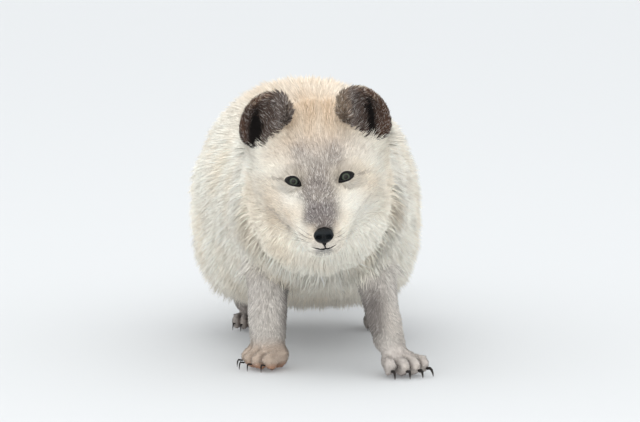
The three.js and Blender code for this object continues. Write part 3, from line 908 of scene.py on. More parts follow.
def grow(name, share, count, length, width, sides=3, stand=(0.55, 1.0), clump=0.4, every=14, sag=0.06,
         swirl=0.25, stray=0.12):
    """Grows one piece of coat. share is how thickly each vertex grows it; length and width are in
    millimetres."""
    count = int(count * DENSITY)
    weight = area * share[corners].mean(axis=1)
    picks = chance.choice(len(weight), count, p=weight / weight.sum())
    a, b = np.sqrt(chance.random(count)), chance.random(count)
    weights = np.column_stack((1 - a, a * (1 - b), a * b))

    def at(values):
        values = np.broadcast_to(values, (len(points),)) if np.ndim(values) == 0 else values
        return np.einsum("tk,tk...->t...", weights, values[corners[picks]])

    root, up = at(points), unit(at(soft_normals))
    way = flat_on(at(lies), up)
    deep, reach = at(depth) * MM, at(length) * MM * chance.uniform(0.72, 1.12, count)
    thick = at(width) * MM * chance.uniform(0.7, 1.3, count)
    turned = swirl * ripple(root, 24 * MM, 17) + chance.normal(0, stray, count)
    way = way * np.cos(turned)[:, None] + np.cross(up, way) * np.sin(turned)[:, None]
    height = deep * chance.uniform(*stand, count) * (1 + 0.12 * ripple(root, 18 * MM, 23))
    height = np.minimum(height, 0.9 * reach)
    root = root - up * np.minimum(0.6 * MM, deep / 3)[:, None]
    tip = root + way * np.sqrt(reach ** 2 - height ** 2)[:, None] + up * height[:, None]
    tip[:, 2] -= sag * reach * chance.uniform(0.5, 1.5, count)
    if clump:
        tip = lean_to_leaders(root, tip, every, clump * chance.uniform(0.3, 1, count))
    tip[:, 2] = np.maximum(tip[:, 2], LOWEST_TIP)
    axis = unit(tip - root)
    middle = root + (tip - root) * THICKEST + up * (0.06 * reach + 0.12 * height)[:, None]
    middle[:, 2] = np.maximum(middle[:, 2], LOWEST_MIDDLE)
    e1 = unit(np.cross(axis, up))
    e2 = np.cross(axis, e1)
    if sides == 2:
        roll = chance.uniform(-0.6, 0.6, count)
        e1 = e1 * np.cos(roll)[:, None] + e2 * np.sin(roll)[:, None]
        rays = [e1, -e1]
    else:
        rays = [e1 * math.cos(t) + e2 * math.sin(t) for t in THREE_WAYS]
    ring = [middle + ray * (thick / 2)[:, None] for ray in rays]
    each = sides + 2
    verts = np.stack([root, *ring, tip], axis=1).reshape(-1, 3)
    shading = [up, *[unit(0.8 * up + 0.5 * ray) for ray in rays], unit(up + 0.25 * axis)]
    shading = np.stack(shading, axis=1).reshape(-1, 3)
    pattern = np.array(TETRA if sides == 2 else SPINDLE)
    faces = (pattern[None] + np.arange(count)[:, None, None] * each).reshape(-1, 3)

    place = np.einsum("tk,tkc->tc", weights, corner_maps[picks])
    spots = np.array([(0, -PATCH), *[(PATCH * s, 0) for s in ((1, -1, 0.3)[:sides])], (0, PATCH)])
    bake = (place[:, None] + spots[None]).reshape(-1, 2)
    along = np.array([0.0, *[THICKEST] * sides, 1.0])
    tuft = np.stack(np.broadcast_arrays(chance.random(count)[:, None], along[None]), axis=2)
    tuft = tuft.reshape(-1, 2)
    blur = chance.normal(0, 1.0, (count, 3)) * (0.05 * reach)[:, None]
    hue, grizzle = markings(root + blur, at(normals), owner[corners[picks, 0]])
    spin = chance.normal(0, 1, count)
    hue = hue * (1 + np.clip(grizzle * spin, -0.6, 0.9))[:, None]
    hue = np.clip(mixed(hue, WHITE, (spin > 1.0) * np.minimum(grizzle, 0.5)), 0, 0.97)
    hues = np.repeat(hue, each, axis=0)
    return coat_mesh(name, verts, faces, shading, {BAKE_MAP: bake, "tuft": tuft}, hues)


def coat_mesh(name, verts, faces, shading, maps, hues):
    """One piece of coat from arrays: its triangles, their soft normals, maps and colours."""
    mesh = bpy.data.meshes.new(name)
    mesh.vertices.add(len(verts))
    mesh.vertices.foreach_set("co", verts.astype(np.float32).ravel())
    mesh.loops.add(faces.size)
    mesh.loops.foreach_set("vertex_index", faces.astype(np.int32).ravel())
    mesh.polygons.add(len(faces))
    mesh.polygons.foreach_set("loop_start", np.arange(0, faces.size, 3, dtype=np.int32))
    mesh.update(calc_edges=True)
    for label, values in maps.items():
        layer = mesh.uv_layers.new(name=label)
        layer.data.foreach_set("uv", values[faces.ravel()].astype(np.float32).ravel())
    mesh.normals_split_custom_set_from_vertices(shading.astype(np.float32))
    piece = bpy.data.objects.new(name, mesh)
    bpy.context.scene.collection.objects.link(piece)
    paint(piece, hues)
    print(name, len(faces), "triangles")
    return piece


# %% [markdown]
# ## The coat, part by part
#
# The fur is finest and shortest on the face and feet and longest on the ruff, the flanks and the tail. Each
# part is a piece of its own, with its own share of the tufts, so that none grows too large.

# %% The coat, part by part
def share_of(*names, rounds=4):
    """How far each vertex belongs to the named parts, evened out over their edges."""
    return spread(on(owner, *names).astype(float), pairs, rounds)


bare = np.zeros(len(points), bool)
for side in SIDES:
    p, q, out, rim = almond_place(local, side)
    bare |= (rim < 1.42) & (out > -6)
    bare |= (blot(np.column_stack((p, q)), TEAR, TEAR_SIZE, 0.2) > 0.5) & (out > -6)
bare |= np.linalg.norm((local - NOSE) / (8.3, 8.0, 6.3), axis=1) < 1
gap, at_lips = lip_gap(local)
bare |= at_lips & (gap > -0.9) & (gap < 1.2)
bare |= (points[:, 2] < 2.2 * MM) & (normals[:, 2] < -0.5)
furred = 1.0 - bare

front_face = 1 - ramp(local[:, 1], 4, 20)
face_length = 2.4 + 1.4 * depth + 2.6 * ramp(np.linalg.norm(local - NOSE, axis=1), 14, 55)
face_length = face_length * (1 - 0.5 * at_lips * (np.abs(gap - 2.6) < 2.2))
head_share = share_of("head", "muzzle", "lower_jaw", rounds=1)
coats = [grow("coat_face", furred * head_share * front_face, 45000, face_length, 0.45, sides=2,
              stand=(0.5, 1.1), clump=0.45, every=16, sag=0.0, swirl=0.16)]
coats.append(grow("coat_crown", furred * head_share * (1 - front_face), 30000, 5 + 1.35 * depth, 0.6,
                  stand=(0.6, 1.15), clump=0.45, every=16, sag=0.03, stray=0.2))
throat = furred * share_of("neck")
in_face = np.column_stack((np.abs(local[:, 0]), local @ RISE - EYE_LINE))
beside_cheek = blot(in_face, (62, -8), (16, 38), 0.8)
coats.append(grow("coat_ruff", throat * (1 + 1.6 * beside_cheek), 32000, 8 + 1.05 * depth, 0.75,
                  stand=(0.6, 1.02), clump=0.35))

# The ruff's edge is shaggy: a few long locks hang from it over the chest and the tops of the forelegs.
bib = (1 - ramp(np.abs(local[:, 0]), 10, 34)) * ramp(EYE_LINE - local @ RISE, 60, 78)
edge_of_ruff = ramp(np.linalg.norm(local - CHEEK_MIDDLE, axis=1), 66, 88)
edge_of_ruff = edge_of_ruff * (1 - ramp(local[:, 2], 20, 45)) * ramp(-normals[:, 1], -0.35, 0.2)
combed = lies.copy()
hang = np.array((0, -0.15, -1.0)) + 0.35 * np.sign(local[:, :1]) * TURN[:, 0]
lies = flat_on(lies + 0.9 * edge_of_ruff[:, None] * hang, soft_normals)
coats.append(grow("coat_ruff_fringe", throat * edge_of_ruff, 9000, 30 + 27 * bib, 0.95,
                  stand=(0.75, 1.5), clump=0.55, every=10, sag=0.12, stray=0.25))
lies = combed
belly = ramp(-normals[:, 2], 0.3, 0.9) * on(owner, "chest", "loin", "rump")
belly = spread(belly, pairs, 6)
depth = depth + 6 * belly
coats.append(grow("coat_chest", furred * share_of("chest", "shoulder"), 28000, 25, 0.75, clump=0.3))
coats.append(grow("coat_flanks", furred * share_of("loin"), 24000, 28, 0.85, stand=(0.65, 1.15),
                  clump=0.3))
coats.append(grow("coat_rump", furred * share_of("rump", "thigh"), 30000, 28, 0.85, stand=(0.65, 1.15),
                  clump=0.3))
leg_length = 4.5 + 4.5 * ramp(points[:, 2], 0.02, 0.06)
coats.append(grow("coat_legs", furred * share_of("forearm", "hock", rounds=2), 32000, leg_length, 0.45,
                  sides=2, stand=(0.5, 1.1), clump=0.3, sag=0.03))
gaps, _ = toes_at(points)
paw_length = 2.4 + 3.0 * ramp(points[:, 2], 0.008, 0.03)
coats.append(grow("coat_paws", furred * share_of("forepaw", "hindpaw", rounds=2) * (1 - 0.9 * gaps), 17000,
                  paw_length, 0.4, sides=2, stand=(0.25, 0.8), clump=0.3, sag=0.02))
coats.append(grow("coat_tail", furred * share_of("tail"), 20000, 36, 1.1, stand=(0.45, 0.9)))

# %% [markdown]
# ## Hair in the ears
#
# A winter ear is packed with hair. It springs from the inner edge and sweeps across the cup, and a short
# dark fringe stands along the rim. The skin's cup, painted with shadow, stays dark behind it, and the back
# of the ear is covered with short fur.

# %% Hair in the ears
ear_facing = -(normals @ TURN)[:, 1]
ear_inner = np.zeros(len(points))
saved = lies.copy()
for side, sign in SIDES.items():
    mine = on(owner, f"ear_{side}") & (np.sign(local[:, 0]) == sign)
    outward = (local - EAR_MIDDLE[side])[:, 0] * sign
    inner = ramp(-outward, -3, 7)
    ear_inner += mine * inner
    sweep = unit(np.array((0.85 * sign, -0.35, 0.5)))
    lies[mine] = unit(lies[mine] + (1.4 * inner * ramp(ear_facing, -0.3, 0.3))[mine, None] * (sweep @ TURN.T))
lies = flat_on(lies, soft_normals)
ear_share = share_of("ear", rounds=1)
coats.append(grow("coat_ears", ear_share, 16000, 5.2, 0.45, sides=2, stand=(0.7, 2.4), clump=0.35, every=9,
                  sag=0.0, stray=0.35))
ear_top = np.maximum(*[(local - EAR_MIDDLE[side]) @ EAR_TIP_WAY[side] for side in SIDES])
cup_share = ear_share * ear_inner * ramp(ear_facing, -0.4, 0.3) * (1 - ramp(ear_top, 10, 20))
coats.append(grow("coat_ear_hair", cup_share, 5000, 10, 0.45, sides=2, stand=(2.5, 5.5), clump=0.4,
                  every=9, sag=0.0, stray=0.25))
lies = saved

# %% [markdown]
# ## Fur as a material
#
# A tuft is a little darker at its root, where its neighbours shade it, and no two are quite alike. The
# group reads the painted colour and the tuft's own map and puts out one colour. Each coat material then
# sets its own sheen.

# %% Fur as a material
def new_material(name, roughness, specular=0.3, sheen=0.0, coat=0.0, coat_roughness=0.1):
    """A material with its own sheen and gloss; its colour is linked later."""
    material = bpy.data.materials.new(name)
    material.use_nodes = True
    shader = material.node_tree.nodes["Principled BSDF"]
    shader.inputs["Roughness"].default_value = roughness
    shader.inputs["Specular IOR Level"].default_value = specular
    shader.inputs["Sheen Weight"].default_value = sheen
    shader.inputs["Sheen Roughness"].default_value = 0.5
    shader.inputs["Coat Weight"].default_value = coat
    shader.inputs["Coat Roughness"].default_value = coat_roughness
    return material, material.node_tree, shader


def add(tree, kind, **settings):
    """A node, with its inputs and its own settings given by name."""
    node = tree.nodes.new(kind)
    for key, value in settings.items():
        label = key.replace("_", " ").title()
        if label in node.inputs:
            node.inputs[label].default_value = value
        else:
            setattr(node, key, value)
    return node


def maths(tree, operation, first, second=0.0, third=0.0):
    """One step of arithmetic between sockets or numbers."""
    node = add(tree, "ShaderNodeMath", operation=operation)
    for slot, value in enumerate((first, second, third)):
        if isinstance(value, (int, float)):
            node.inputs[slot].default_value = value
        else:
            tree.links.new(value, node.inputs[slot])
    return node.outputs[0]


def graded(tree, value, stops):
    """Colours along a value from 0 to 1."""
    node = add(tree, "ShaderNodeValToRGB")
    strip = node.color_ramp.elements
    while len(strip) < len(stops):
        strip.new(0.5)
    for element, (place, colour) in zip(strip, stops):
        element.position = place
        element.color = (*colour, 1)
    tree.links.new(value, node.inputs[0])
    return node.outputs["Color"]


def noise_over(tree, scale, detail):
    """Noise laid on the piece's own coordinates."""
    place = add(tree, "ShaderNodeTexCoord")
    noise = add(tree, "ShaderNodeTexNoise", scale=scale, detail=detail)
    tree.links.new(place.outputs["Object"], noise.inputs["Vector"])
    return noise.outputs[0]


def bump(tree, height, shader, strength, distance):
    """Fine relief in a shader, over the shape that is modelled."""
    node = add(tree, "ShaderNodeBump", strength=strength, distance=distance)
    tree.links.new(height, node.inputs["Height"])
    tree.links.new(node.outputs["Normal"], shader.inputs["Normal"])


def fur_group():
    """The painted colour, darkened towards the root and varied from tuft to tuft."""
    group = bpy.data.node_groups.new("fur_shade", "ShaderNodeTree")
    face = group.interface
    for label, value in (("Root Shade", 0.7), ("Variety", 0.1)):
        face.new_socket(label, in_out="INPUT", socket_type="NodeSocketFloat").default_value = value
    face.new_socket("Colour", in_out="OUTPUT", socket_type="NodeSocketColor")
    inside, outside = add(group, "NodeGroupInput"), add(group, "NodeGroupOutput")
    paint_node = add(group, "ShaderNodeAttribute", attribute_name="coat_colour")
    tuft_map = add(group, "ShaderNodeUVMap", uv_map="tuft")
    split = add(group, "ShaderNodeSeparateXYZ")
    group.links.new(tuft_map.outputs[0], split.inputs[0])
    random, along = split.outputs[0], split.outputs[1]
    lighter = maths(group, "MULTIPLY", maths(group, "SUBTRACT", 1.0, inside.outputs["Root Shade"]), along)
    shade = maths(group, "ADD", inside.outputs["Root Shade"], lighter)
    vary = maths(group, "MULTIPLY", maths(group, "SUBTRACT", random, 0.5), inside.outputs["Variety"])
    scale = add(group, "ShaderNodeVectorMath", operation="SCALE")
    group.links.new(paint_node.outputs["Color"], scale.inputs[0])
    group.links.new(maths(group, "ADD", shade, vary), scale.inputs["Scale"])
    group.links.new(scale.outputs[0], outside.inputs["Colour"])
    return group


FUR = fur_group()


def fur_material(name, root_shade, variety, roughness=0.8, sheen=0.1):
    material, tree, shader = new_material(name, roughness, specular=0.15, sheen=sheen)
    fur = add(tree, "ShaderNodeGroup", node_tree=FUR)
    fur.inputs["Root Shade"].default_value = root_shade
    fur.inputs["Variety"].default_value = variety
    tree.links.new(fur.outputs["Colour"], shader.inputs["Base Color"])
    return material


LONG_FUR = fur_material("long_fur", 0.88, 0.08)
SHORT_FUR = fur_material("short_fur", 0.8, 0.14)
LEG_FUR = fur_material("leg_fur", 0.88, 0.14)
EAR_FUR = fur_material("ear_fur", 0.75, 0.2)
UNDER_FUR = fur_material("under_fur", 0.9, 0.0, roughness=0.9)
tree = UNDER_FUR.node_tree
bump(tree, noise_over(tree, 900.0, 4.0), tree.nodes["Principled BSDF"], 0.7, 0.0008)
SLOT_OF = {"coat_face": "fur_mask", "coat_crown": "fur_mask", "coat_legs": "fur_leg",
           "coat_paws": "fur_leg", "coat_ears": "fur_ear", "coat_ear_hair": "fur_ear"}
LOOK_OF = {"fur_mask": SHORT_FUR, "fur_leg": LEG_FUR, "fur_ear": EAR_FUR, "fur_body": LONG_FUR}


def finish_piece(piece, material, slot, *replaced):
    """Gives a piece its material, says what it rides and hides the solids it stands for. The slot is not
    used.
    """
    piece.data.materials.clear()
    piece.data.materials.append(material)
    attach(piece, "root")
    if replaced:
        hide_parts(*replaced)


for piece in coats:
    slot = SLOT_OF.get(piece.name, "fur_body")
    finish_piece(piece, LOOK_OF[slot], slot)
finish_piece(skin, UNDER_FUR, "fur_body", *flesh)

# %% [markdown]
# ## Eyes
#
# An eye is a ball with a clear bulge in front. Colour comes from a map laid straight across its front: a
# dark pupil, a grey-green iris with fine spokes and a dark ring around it. A ball with a map of its own is
# simpler than modelling the iris.

# %% Eyes
def face_matrix(place, forward):
    """Turns a piece made at the origin, with +Z as its front and +Y as its top, to face forward from a
    place."""
    ahead = unit(TURN @ forward)
    right = unit(np.cross(TURN @ RISE, ahead))
    over = np.cross(ahead, right)
    matrix = Matrix.Identity(4)
    for column, axis in enumerate((right, over, ahead, from_head(place))):
        for row in range(3):
            matrix[row][column] = axis[row]
    return matrix


def make_eye(side):
    """A ball with a clear bulge in front, and a map laid straight across it."""
    deselect()
    bpy.ops.mesh.primitive_uv_sphere_add(segments=64, ring_count=40, radius=BALL * MM)
    ball = bpy.context.object
    ball.name = ball.data.name = f"eyeball_{side}"
    place = points_of(ball) / (BALL * MM)
    gaze = ball.data.uv_layers.new(name="gaze")
    flat = np.array([place[loop.vertex_index, :2] for loop in ball.data.loops]) * 0.5 + 0.5
    gaze.data.foreach_set("uv", flat.astype(np.float32).ravel())
    bulge = 1 + 0.055 * ramp(place[:, 2], 0.8, 0.97)
    set_points(ball, place * bulge[:, None] * BALL * MM)
    ball.matrix_world = face_matrix(EYES[side], LOOK)
    in_place(ball)
    bpy.ops.object.shade_smooth()
    return ball


def eye_material():
    material, tree, shader = new_material("eye_surface", 0.25, specular=0.1, coat=0.15, coat_roughness=0.03)
    gaze = add(tree, "ShaderNodeUVMap", uv_map="gaze")
    split = add(tree, "ShaderNodeSeparateXYZ")
    tree.links.new(gaze.outputs[0], split.inputs[0])
    x, y = (maths(tree, "MULTIPLY", maths(tree, "SUBTRACT", split.outputs[i], 0.5), 2.0) for i in (0, 1))
    squares = maths(tree, "ADD", maths(tree, "MULTIPLY", x, x), maths(tree, "MULTIPLY", y, y))
    far = maths(tree, "SQRT", squares)
    angle = maths(tree, "ARCTAN2", y, x)
    spokes = add(tree, "ShaderNodeCombineXYZ")
    tree.links.new(maths(tree, "MULTIPLY", angle, 9.0), spokes.inputs[0])
    tree.links.new(maths(tree, "MULTIPLY", far, 2.5), spokes.inputs[1])
    noise = add(tree, "ShaderNodeTexNoise", scale=2.0, detail=3.0)
    tree.links.new(spokes.outputs[0], noise.inputs["Vector"])
    sway = maths(tree, "MULTIPLY", maths(tree, "SUBTRACT", noise.outputs[0], 0.5), 0.14)
    ragged = maths(tree, "ADD", far, sway)
    rings = graded(tree, ragged, [(0.0, tint(6, 6, 5)), (0.15, tint(9, 9, 8)), (0.2, tint(36, 36, 28)),
                                  (0.28, tint(66, 73, 60)), (0.36, tint(48, 57, 48)),
                                  (0.42, tint(14, 17, 14)), (0.48, tint(6, 7, 6)), (1.0, tint(16, 13, 12))])
    tree.links.new(rings, shader.inputs["Base Color"])
    return material


EYE_SURFACE = eye_material()
for side in SIDES:
    eye = make_eye(side)
    finish_piece(eye, EYE_SURFACE, "eye_glass", f"eye_{side}")
    print(eye.name, len(eye.data.polygons), "faces")

# %% [markdown]
# ## Dark lid rims
#
# The lids' bare edges are black and a little wet, and make the eye's outline. Each rim starts as a torus
# whose ring is laid round the almond, on the skin or the ball, whichever stands out farther. It is drawn
# down at the inner corner, where the tears run.

# %% Dark lid rims
skin_tree = BVHTree.FromObject(skin, bpy.context.evaluated_depsgraph_get())
CAST_FROM = 60  # millimetres in front of the face


def out_of_skin(place):
    """How far towards the viewer the skin stands in front of a place in the head's frame, in
    millimetres."""
    start = place + LOOK * CAST_FROM
    hit = skin_tree.ray_cast(Vector(from_head(start)), Vector(-(TURN @ LOOK)))[3]
    return CAST_FROM - hit / MM


def smooth_outward(piece):
    """Turns a closed piece's faces outward and smooths them."""
    choose(piece)
    bpy.ops.object.mode_set(mode="EDIT")
    bpy.ops.mesh.select_all(action="SELECT")
    bpy.ops.mesh.normals_make_consistent(inside=False)
    bpy.ops.object.mode_set(mode="OBJECT")
    bpy.ops.object.shade_smooth()
    return piece


def make_rim(side):
    """A ring laid round the almond, thicker at the sides and drawn down at the inner corner."""
    deselect()
    bpy.ops.mesh.primitive_torus_add(major_segments=96, minor_segments=14, major_radius=1.0,
                                     minor_radius=0.2)
    rim = bpy.context.object
    rim.name = rim.data.name = f"lid_rim_{side}"
    place = points_of(rim)
    off = np.linalg.norm(place[:, :2], axis=1) - 1.0
    angle = np.arctan2(place[:, 1], place[:, 0])
    c, s = np.cos(angle), np.sin(angle)
    ring = 1.25 + off * (1.55 * s ** 2 + 1.3 * c ** 2 + 0.5 * ramp(c, 0.5, 1.0))
    p = ALMOND["half_length"] * ring * c
    half = np.where(s > 0, ALMOND["over"], ALMOND["under"])
    q = half * np.sign(s) * (ring * np.abs(s)) ** 1.176
    q = q - INNER_DROP * np.clip(-p / ALMOND["half_length"], 0, 2) ** 2
    along, across = eye_axes(side)
    flat = p[:, None] * along + q[:, None] * across + ALMOND["lift"] * RISE
    ball = np.sqrt(np.maximum(BALL ** 2 - (flat ** 2).sum(axis=1), 0))
    under = np.maximum(ball, [out_of_skin(EYES[side] + f) for f in flat])
    local_rim = EYES[side] + flat + (under + 0.12 + 2.6 * place[:, 2])[:, None] * LOOK
    set_points(rim, from_head(local_rim))
    return smooth_outward(rim)


def lid_material():
    material, tree, shader = new_material("lid_skin", 0.5, specular=0.18)
    noise = noise_over(tree, 900.0, 2.0)
    colour = graded(tree, noise, [(0.3, tint(7, 7, 8)), (0.7, tint(22, 20, 20))])
    tree.links.new(colour, shader.inputs["Base Color"])
    bump(tree, noise, shader, 0.3, 0.0004)
    return material


LID_SKIN = lid_material()
for side in SIDES:
    finish_piece(make_rim(side), LID_SKIN, "nose_leather")

# %% [markdown]
# ## The nose
#
# The bare nose is a pad with two comma-shaped nostrils, a groove down its middle and a fine pebbled skin.
# It starts as a copy of the solid nose, remeshed finely enough to press the nostrils into it.

# %% The nose
nose = copy_of("nose_pad")
nose.name = nose.data.name = "nose"
remesh = nose.modifiers.new("melt", "REMESH")
remesh.mode = "VOXEL"
remesh.voxel_size = 0.45 * MM
apply_modifiers(nose)
nose_points, nose_pairs = points_of(nose), edges_of(nose)
nose_points = spread(nose_points, nose_pairs, 14, 0.5)
nose_local = (to_head(nose_points) - NOSE_PAD) * 0.88 + 0.9 * LOOK
u, w, out = nose_local[:, 0], nose_local @ RISE, nose_local @ LOOK
facing = ramp(out, 0.5, 3.5)
widen = u * 0.09 * ramp(w, -2, 3) - u * 0.34 * ramp(-w, 2, 7.5)
nose_local = nose_local + widen[:, None] * np.array((1, 0, 0))
half_face = np.column_stack((np.abs(u), w))
hole = blot(half_face, (3.9, -0.9), (1.9, 1.5), 0.55)
slit = blot(np.column_stack((np.abs(u) - 0.35 * (w + 1), w)), (6.3, -1.6), (2.2, 0.75), 0.6)
groove = np.exp(-(u / 0.5) ** 2) * ramp(-w, -1.5, 2.5)
press = 3.2 * np.maximum(hole, 0.75 * slit) + 0.8 * groove
press = press - 0.5 * blot(half_face, (3.2, 3.0), (3, 2), 0.9)
nose_local = nose_local - (press * facing)[:, None] * LOOK
nose_local = nose_local + (0.5 * ramp(-w, 3, 6))[:, None] * LOOK
set_points(nose, from_head(nose_local + NOSE))
choose(nose)
bpy.ops.object.shade_smooth()


def nose_material():
    material, tree, shader = new_material("nose_skin", 0.5, specular=0.18, coat=0.04, coat_roughness=0.25)
    place = add(tree, "ShaderNodeTexCoord")
    cells = add(tree, "ShaderNodeTexVoronoi", feature="SMOOTH_F1", scale=1150.0, smoothness=0.4)
    tree.links.new(place.outputs["Object"], cells.inputs["Vector"])
    cloud = noise_over(tree, 260.0, 3.0)
    colour = graded(tree, cloud, [(0.35, tint(4, 8, 10)), (0.7, tint(12, 20, 24))])
    tree.links.new(colour, shader.inputs["Base Color"])
    bump(tree, maths(tree, "SUBTRACT", 1.0, cells.outputs["Distance"]), shader, 0.55, 0.0006)
    return material


NOSE_SKIN = nose_material()
finish_piece(nose, NOSE_SKIN, "nose_leather", "nose_pad")
print("nose:", len(nose.data.polygons), "faces")

# %% [markdown]
# ## Lips
#
# The mouth is shut, so all that shows is a dark line between the lips, turned up at its ends, and the short
# upright groove that joins it to the nose. Each is a thin tapering bead: a chain of rings bridged along a
# path that is dropped onto the skin.

# %% Lips
def on_skin(across, up, above=0.5):
    """The point over the skin that the viewer sees at a place in the head's plane, measured from the nose's
    pad."""
    place = NOSE_PAD + np.array((1, 0, 0)) * across + RISE * up
    return from_head(place + LOOK * (out_of_skin(place) + above))


def bead(name, path, radii, sides=8):
    """A tapering tube along a path in the row's frame, drawn out ring by ring."""
    deselect()
    bpy.ops.mesh.primitive_circle_add(vertices=sides, radius=1.0)
    piece = bpy.context.object
    piece.name = piece.data.name = name
    bpy.ops.object.mode_set(mode="EDIT")
    bpy.ops.mesh.select_mode(type="VERT")
    bpy.ops.mesh.select_all(action="SELECT")
    for _ in range(len(path) - 1):
        bpy.ops.mesh.extrude_region_move(TRANSFORM_OT_translate={"value": (0, 0, 1)})
    bpy.ops.object.mode_set(mode="OBJECT")
    rest = points_of(piece)
    ring = np.rint(rest[:, 2]).astype(int)
    forward = unit(np.gradient(np.asarray(path), axis=0))
    side = unit(np.cross(forward, TURN @ LOOK))
    over = np.cross(side, forward)
    spot = np.asarray(path)[ring]
    size = np.asarray(radii)[ring] * MM
    round_path = side[ring] * (rest[:, :1] * size[:, None]) + over[ring] * (rest[:, 1:2] * size[:, None])
    set_points(piece, spot + round_path)
    choose(piece)
    bpy.ops.object.mode_set(mode="EDIT")
    bpy.ops.mesh.select_all(action="SELECT")
    bpy.ops.mesh.fill_holes(sides=0)
    bpy.ops.object.mode_set(mode="OBJECT")
    return smooth_outward(piece)


GROOVE_LINE = [(0.9, -3.4), (1.0, -5.4), (1.3, -7.2), (1.5, -8.8), (1.6, -9.6)]
lip = bead("lip_line", [on_skin(*spot, 0.7) for spot in LIP_LINE], LIP_SIZES)
groove = bead("lip_groove", [on_skin(*spot, 0.4) for spot in GROOVE_LINE], [2.2, 1.7, 1.0, 0.7, 0.4])
for piece in (lip, groove):
    finish_piece(piece, LID_SKIN, "nose_leather")
print("lips:", len(lip.data.polygons) + len(groove.data.polygons), "faces")

# %% [markdown]
# ## Claws
#
# A fox's claws are dark, curved and blunt, and can't be drawn in. Each grows out of the top of its toe,
# arches over the tip and comes down almost to the ground. The same tapering tube makes them, and the four
# of a paw are joined.

# %% Claws
CLAW_RADII = [1.2, 1.35, 1.15, 0.75, 0.2]


def join(pieces, name):
    """Several small pieces made into one."""
    deselect()
    for piece in pieces:
        piece.select_set(True)
    bpy.context.view_layer.objects.active = pieces[0]
    bpy.ops.object.join()
    joined = bpy.context.object
    joined.name = joined.data.name = name
    return joined


def make_claws(paw):
    """The four claws of a paw. Those of the left forepaw, whose toes are spread, are longer and thicker."""
    (x, y), degrees, longest, half = PAWS[paw]
    spread_out = paw == "forepaw_left"
    radii = 1.0 if spread_out else 0.6
    turned = np.array(Matrix.Rotation(math.radians(degrees), 3, "Z")).T
    made = []
    for toe in TOES:
        tip, reach = toe * half * 0.5, longest - abs(abs(toe) - 0.5) * 6
        long = (0.95 if abs(toe) > 1 else 0.5) if spread_out else 0.2
        arch = [(0.97 * tip, 4 - reach, 7.0), (tip, -reach, 7.8), (1.02 * tip, -reach - 2.4 * long, 6.6),
                (1.04 * tip, -reach - 4.0 * long, 3.9), (1.05 * tip, -reach - 4.5 * long, 1.2)]
        path = [(np.array(a) @ turned + (x, y, 0) + TO_ROW) * MM for a in arch]
        made.append(bead("claw", path, [radii * r for r in CLAW_RADII]))
    return join(made, f"claws_{paw}")


def horn_material():
    material, tree, shader = new_material("claw_horn", 0.5, specular=0.2)
    place = add(tree, "ShaderNodeTexCoord")
    split = add(tree, "ShaderNodeSeparateXYZ")
    tree.links.new(place.outputs["Object"], split.inputs[0])
    noise = noise_over(tree, 700.0, 3.0)
    low = maths(tree, "SUBTRACT", 1.0, maths(tree, "MULTIPLY", split.outputs[2], 100.0))
    mix = maths(tree, "ADD", maths(tree, "MULTIPLY", low, 0.6), maths(tree, "MULTIPLY", noise, 0.5))
    colour = graded(tree, mix, [(0.2, tint(20, 17, 16)), (0.6, tint(40, 34, 31)), (0.95, tint(92, 80, 70))])
    tree.links.new(colour, shader.inputs["Base Color"])
    bump(tree, noise, shader, 0.25, 0.0003)
    return material


HORN = horn_material()
for paw in PAWS:
    claws = make_claws(paw)
    finish_piece(claws, HORN, "claw_horn", *[f"{paw}_claw_{number}" for number in (1, 2, 3, 4)])
    print(claws.name, len(claws.data.polygons), "faces")

# %% [markdown]
# ## Whiskers
#
# Long stiff hairs stand in rows on each side of the muzzle and sweep out over the cheeks. Each is one very
# thin tapering tube from a spot on the lip.

# %% Whiskers
WHISKERS = 8  # on each side


def make_whiskers(side):
    """The whiskers of one side, in three rows."""
    sign = SIDES[side]
    made = []
    for number in range(WHISKERS):
        row, place = number % 3, number // 3
        root = on_skin(sign * (9.0 + 1.9 * place) + 0.8, -4.4 + 2.6 * row + 0.5 * place, -0.8)
        rise = 0.1 + 0.28 * row + 0.06 * place + chance.uniform(-0.04, 0.04)
        way = unit(np.array((0.9 * sign, 0.18 + 0.16 * place, rise)))
        length = chance.uniform(34, 50) - 4 * place
        path = [root + TURN @ (way * t + np.array((0, 0.16, -0.1)) * t * t) * length * MM
                for t in (0.0, 0.25, 0.5, 0.75, 1.0)]
        made.append(bead("whisker", path, [0.15, 0.13, 0.1, 0.07, 0.02], sides=4))
    return join(made, f"whiskers_{side}")


def whisker_material():
    material, tree, shader = new_material("whisker_hair", 0.45, specular=0.3)
    noise = noise_over(tree, 45.0, 1.0)
    colour = graded(tree, noise, [(0.4, tint(140, 130, 122)), (0.6, tint(222, 214, 204))])
    tree.links.new(colour, shader.inputs["Base Color"])
    return material


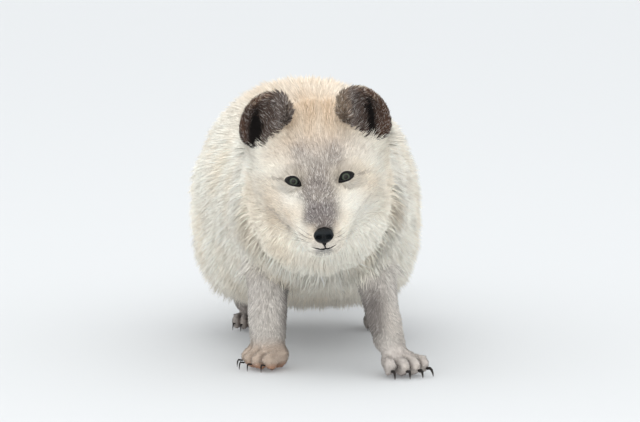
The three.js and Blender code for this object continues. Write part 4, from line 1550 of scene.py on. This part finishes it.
WHISKER_HAIR = whisker_material()
for side in SIDES:
    finish_piece(make_whiskers(side), WHISKER_HAIR, "fur_mask")

# %% [markdown]
# ## The stage
#
# A wide pale floor that fills the view, an even pale sky, and two large soft lamps: one overhead and one
# from the viewer's side. The camera stands back and looks a little down through a long lens.

# %% The stage
deselect()
bpy.ops.mesh.primitive_plane_add(size=60, location=(0, 0, 0))
floor = in_place(bpy.context.object)
floor.name = "floor"
floor_paint, tree, shader = new_material("floor_paint", 0.95, specular=0.05)
shader.inputs["Base Color"].default_value = (0.51, 0.52, 0.525, 1)
shader.inputs["Emission Color"].default_value = (0.96, 0.98, 1.0, 1)
shader.inputs["Emission Strength"].default_value = 0.12
floor.data.materials.append(floor_paint)

world = bpy.data.worlds.new("pale_sky")
bpy.context.scene.world = world
world.use_nodes = True
sky = world.node_tree.nodes["Background"]
sky.inputs["Color"].default_value = (0.97, 0.985, 1.0, 1)
sky.inputs["Strength"].default_value = 1.43


def soft_lamp(place, aim, size, energy):
    """A round lamp at a place, turned to its aim, both in metres; its energy is in watts."""
    deselect()
    bpy.ops.object.light_add(type="AREA", location=place)
    lamp = bpy.context.object
    lamp.data.shape = "DISK"
    lamp.data.size = size
    lamp.data.energy = energy
    lamp.data.color = (1.0, 0.985, 0.955)
    lamp.rotation_euler = (Vector(place) - Vector(aim)).to_track_quat("Z", "Y").to_euler()


LAMP_SIZE = 2.4
soft_lamp((-0.5, -0.9, 3.4), (0, -0.1, 0.1), LAMP_SIZE, 16)
soft_lamp((-0.5, -3.4, 0.8), (0, 0, 0.12), LAMP_SIZE, 30)

CAMERA_FROM_EYES = Vector((0.0009, -2.5535, 0.2624))
LENS, SENSOR_WIDTH = 171.1, 36  # millimetres
deselect()
bpy.ops.object.camera_add(location=between_eyes + CAMERA_FROM_EYES)
camera = bpy.context.object
camera.rotation_euler = (math.pi / 2 - VIEW_TILT, 0, 0)
camera.data.lens = LENS
camera.data.sensor_width = SENSOR_WIDTH
bpy.context.scene.camera = camera
bpy.context.scene.view_settings.view_transform = "Standard"
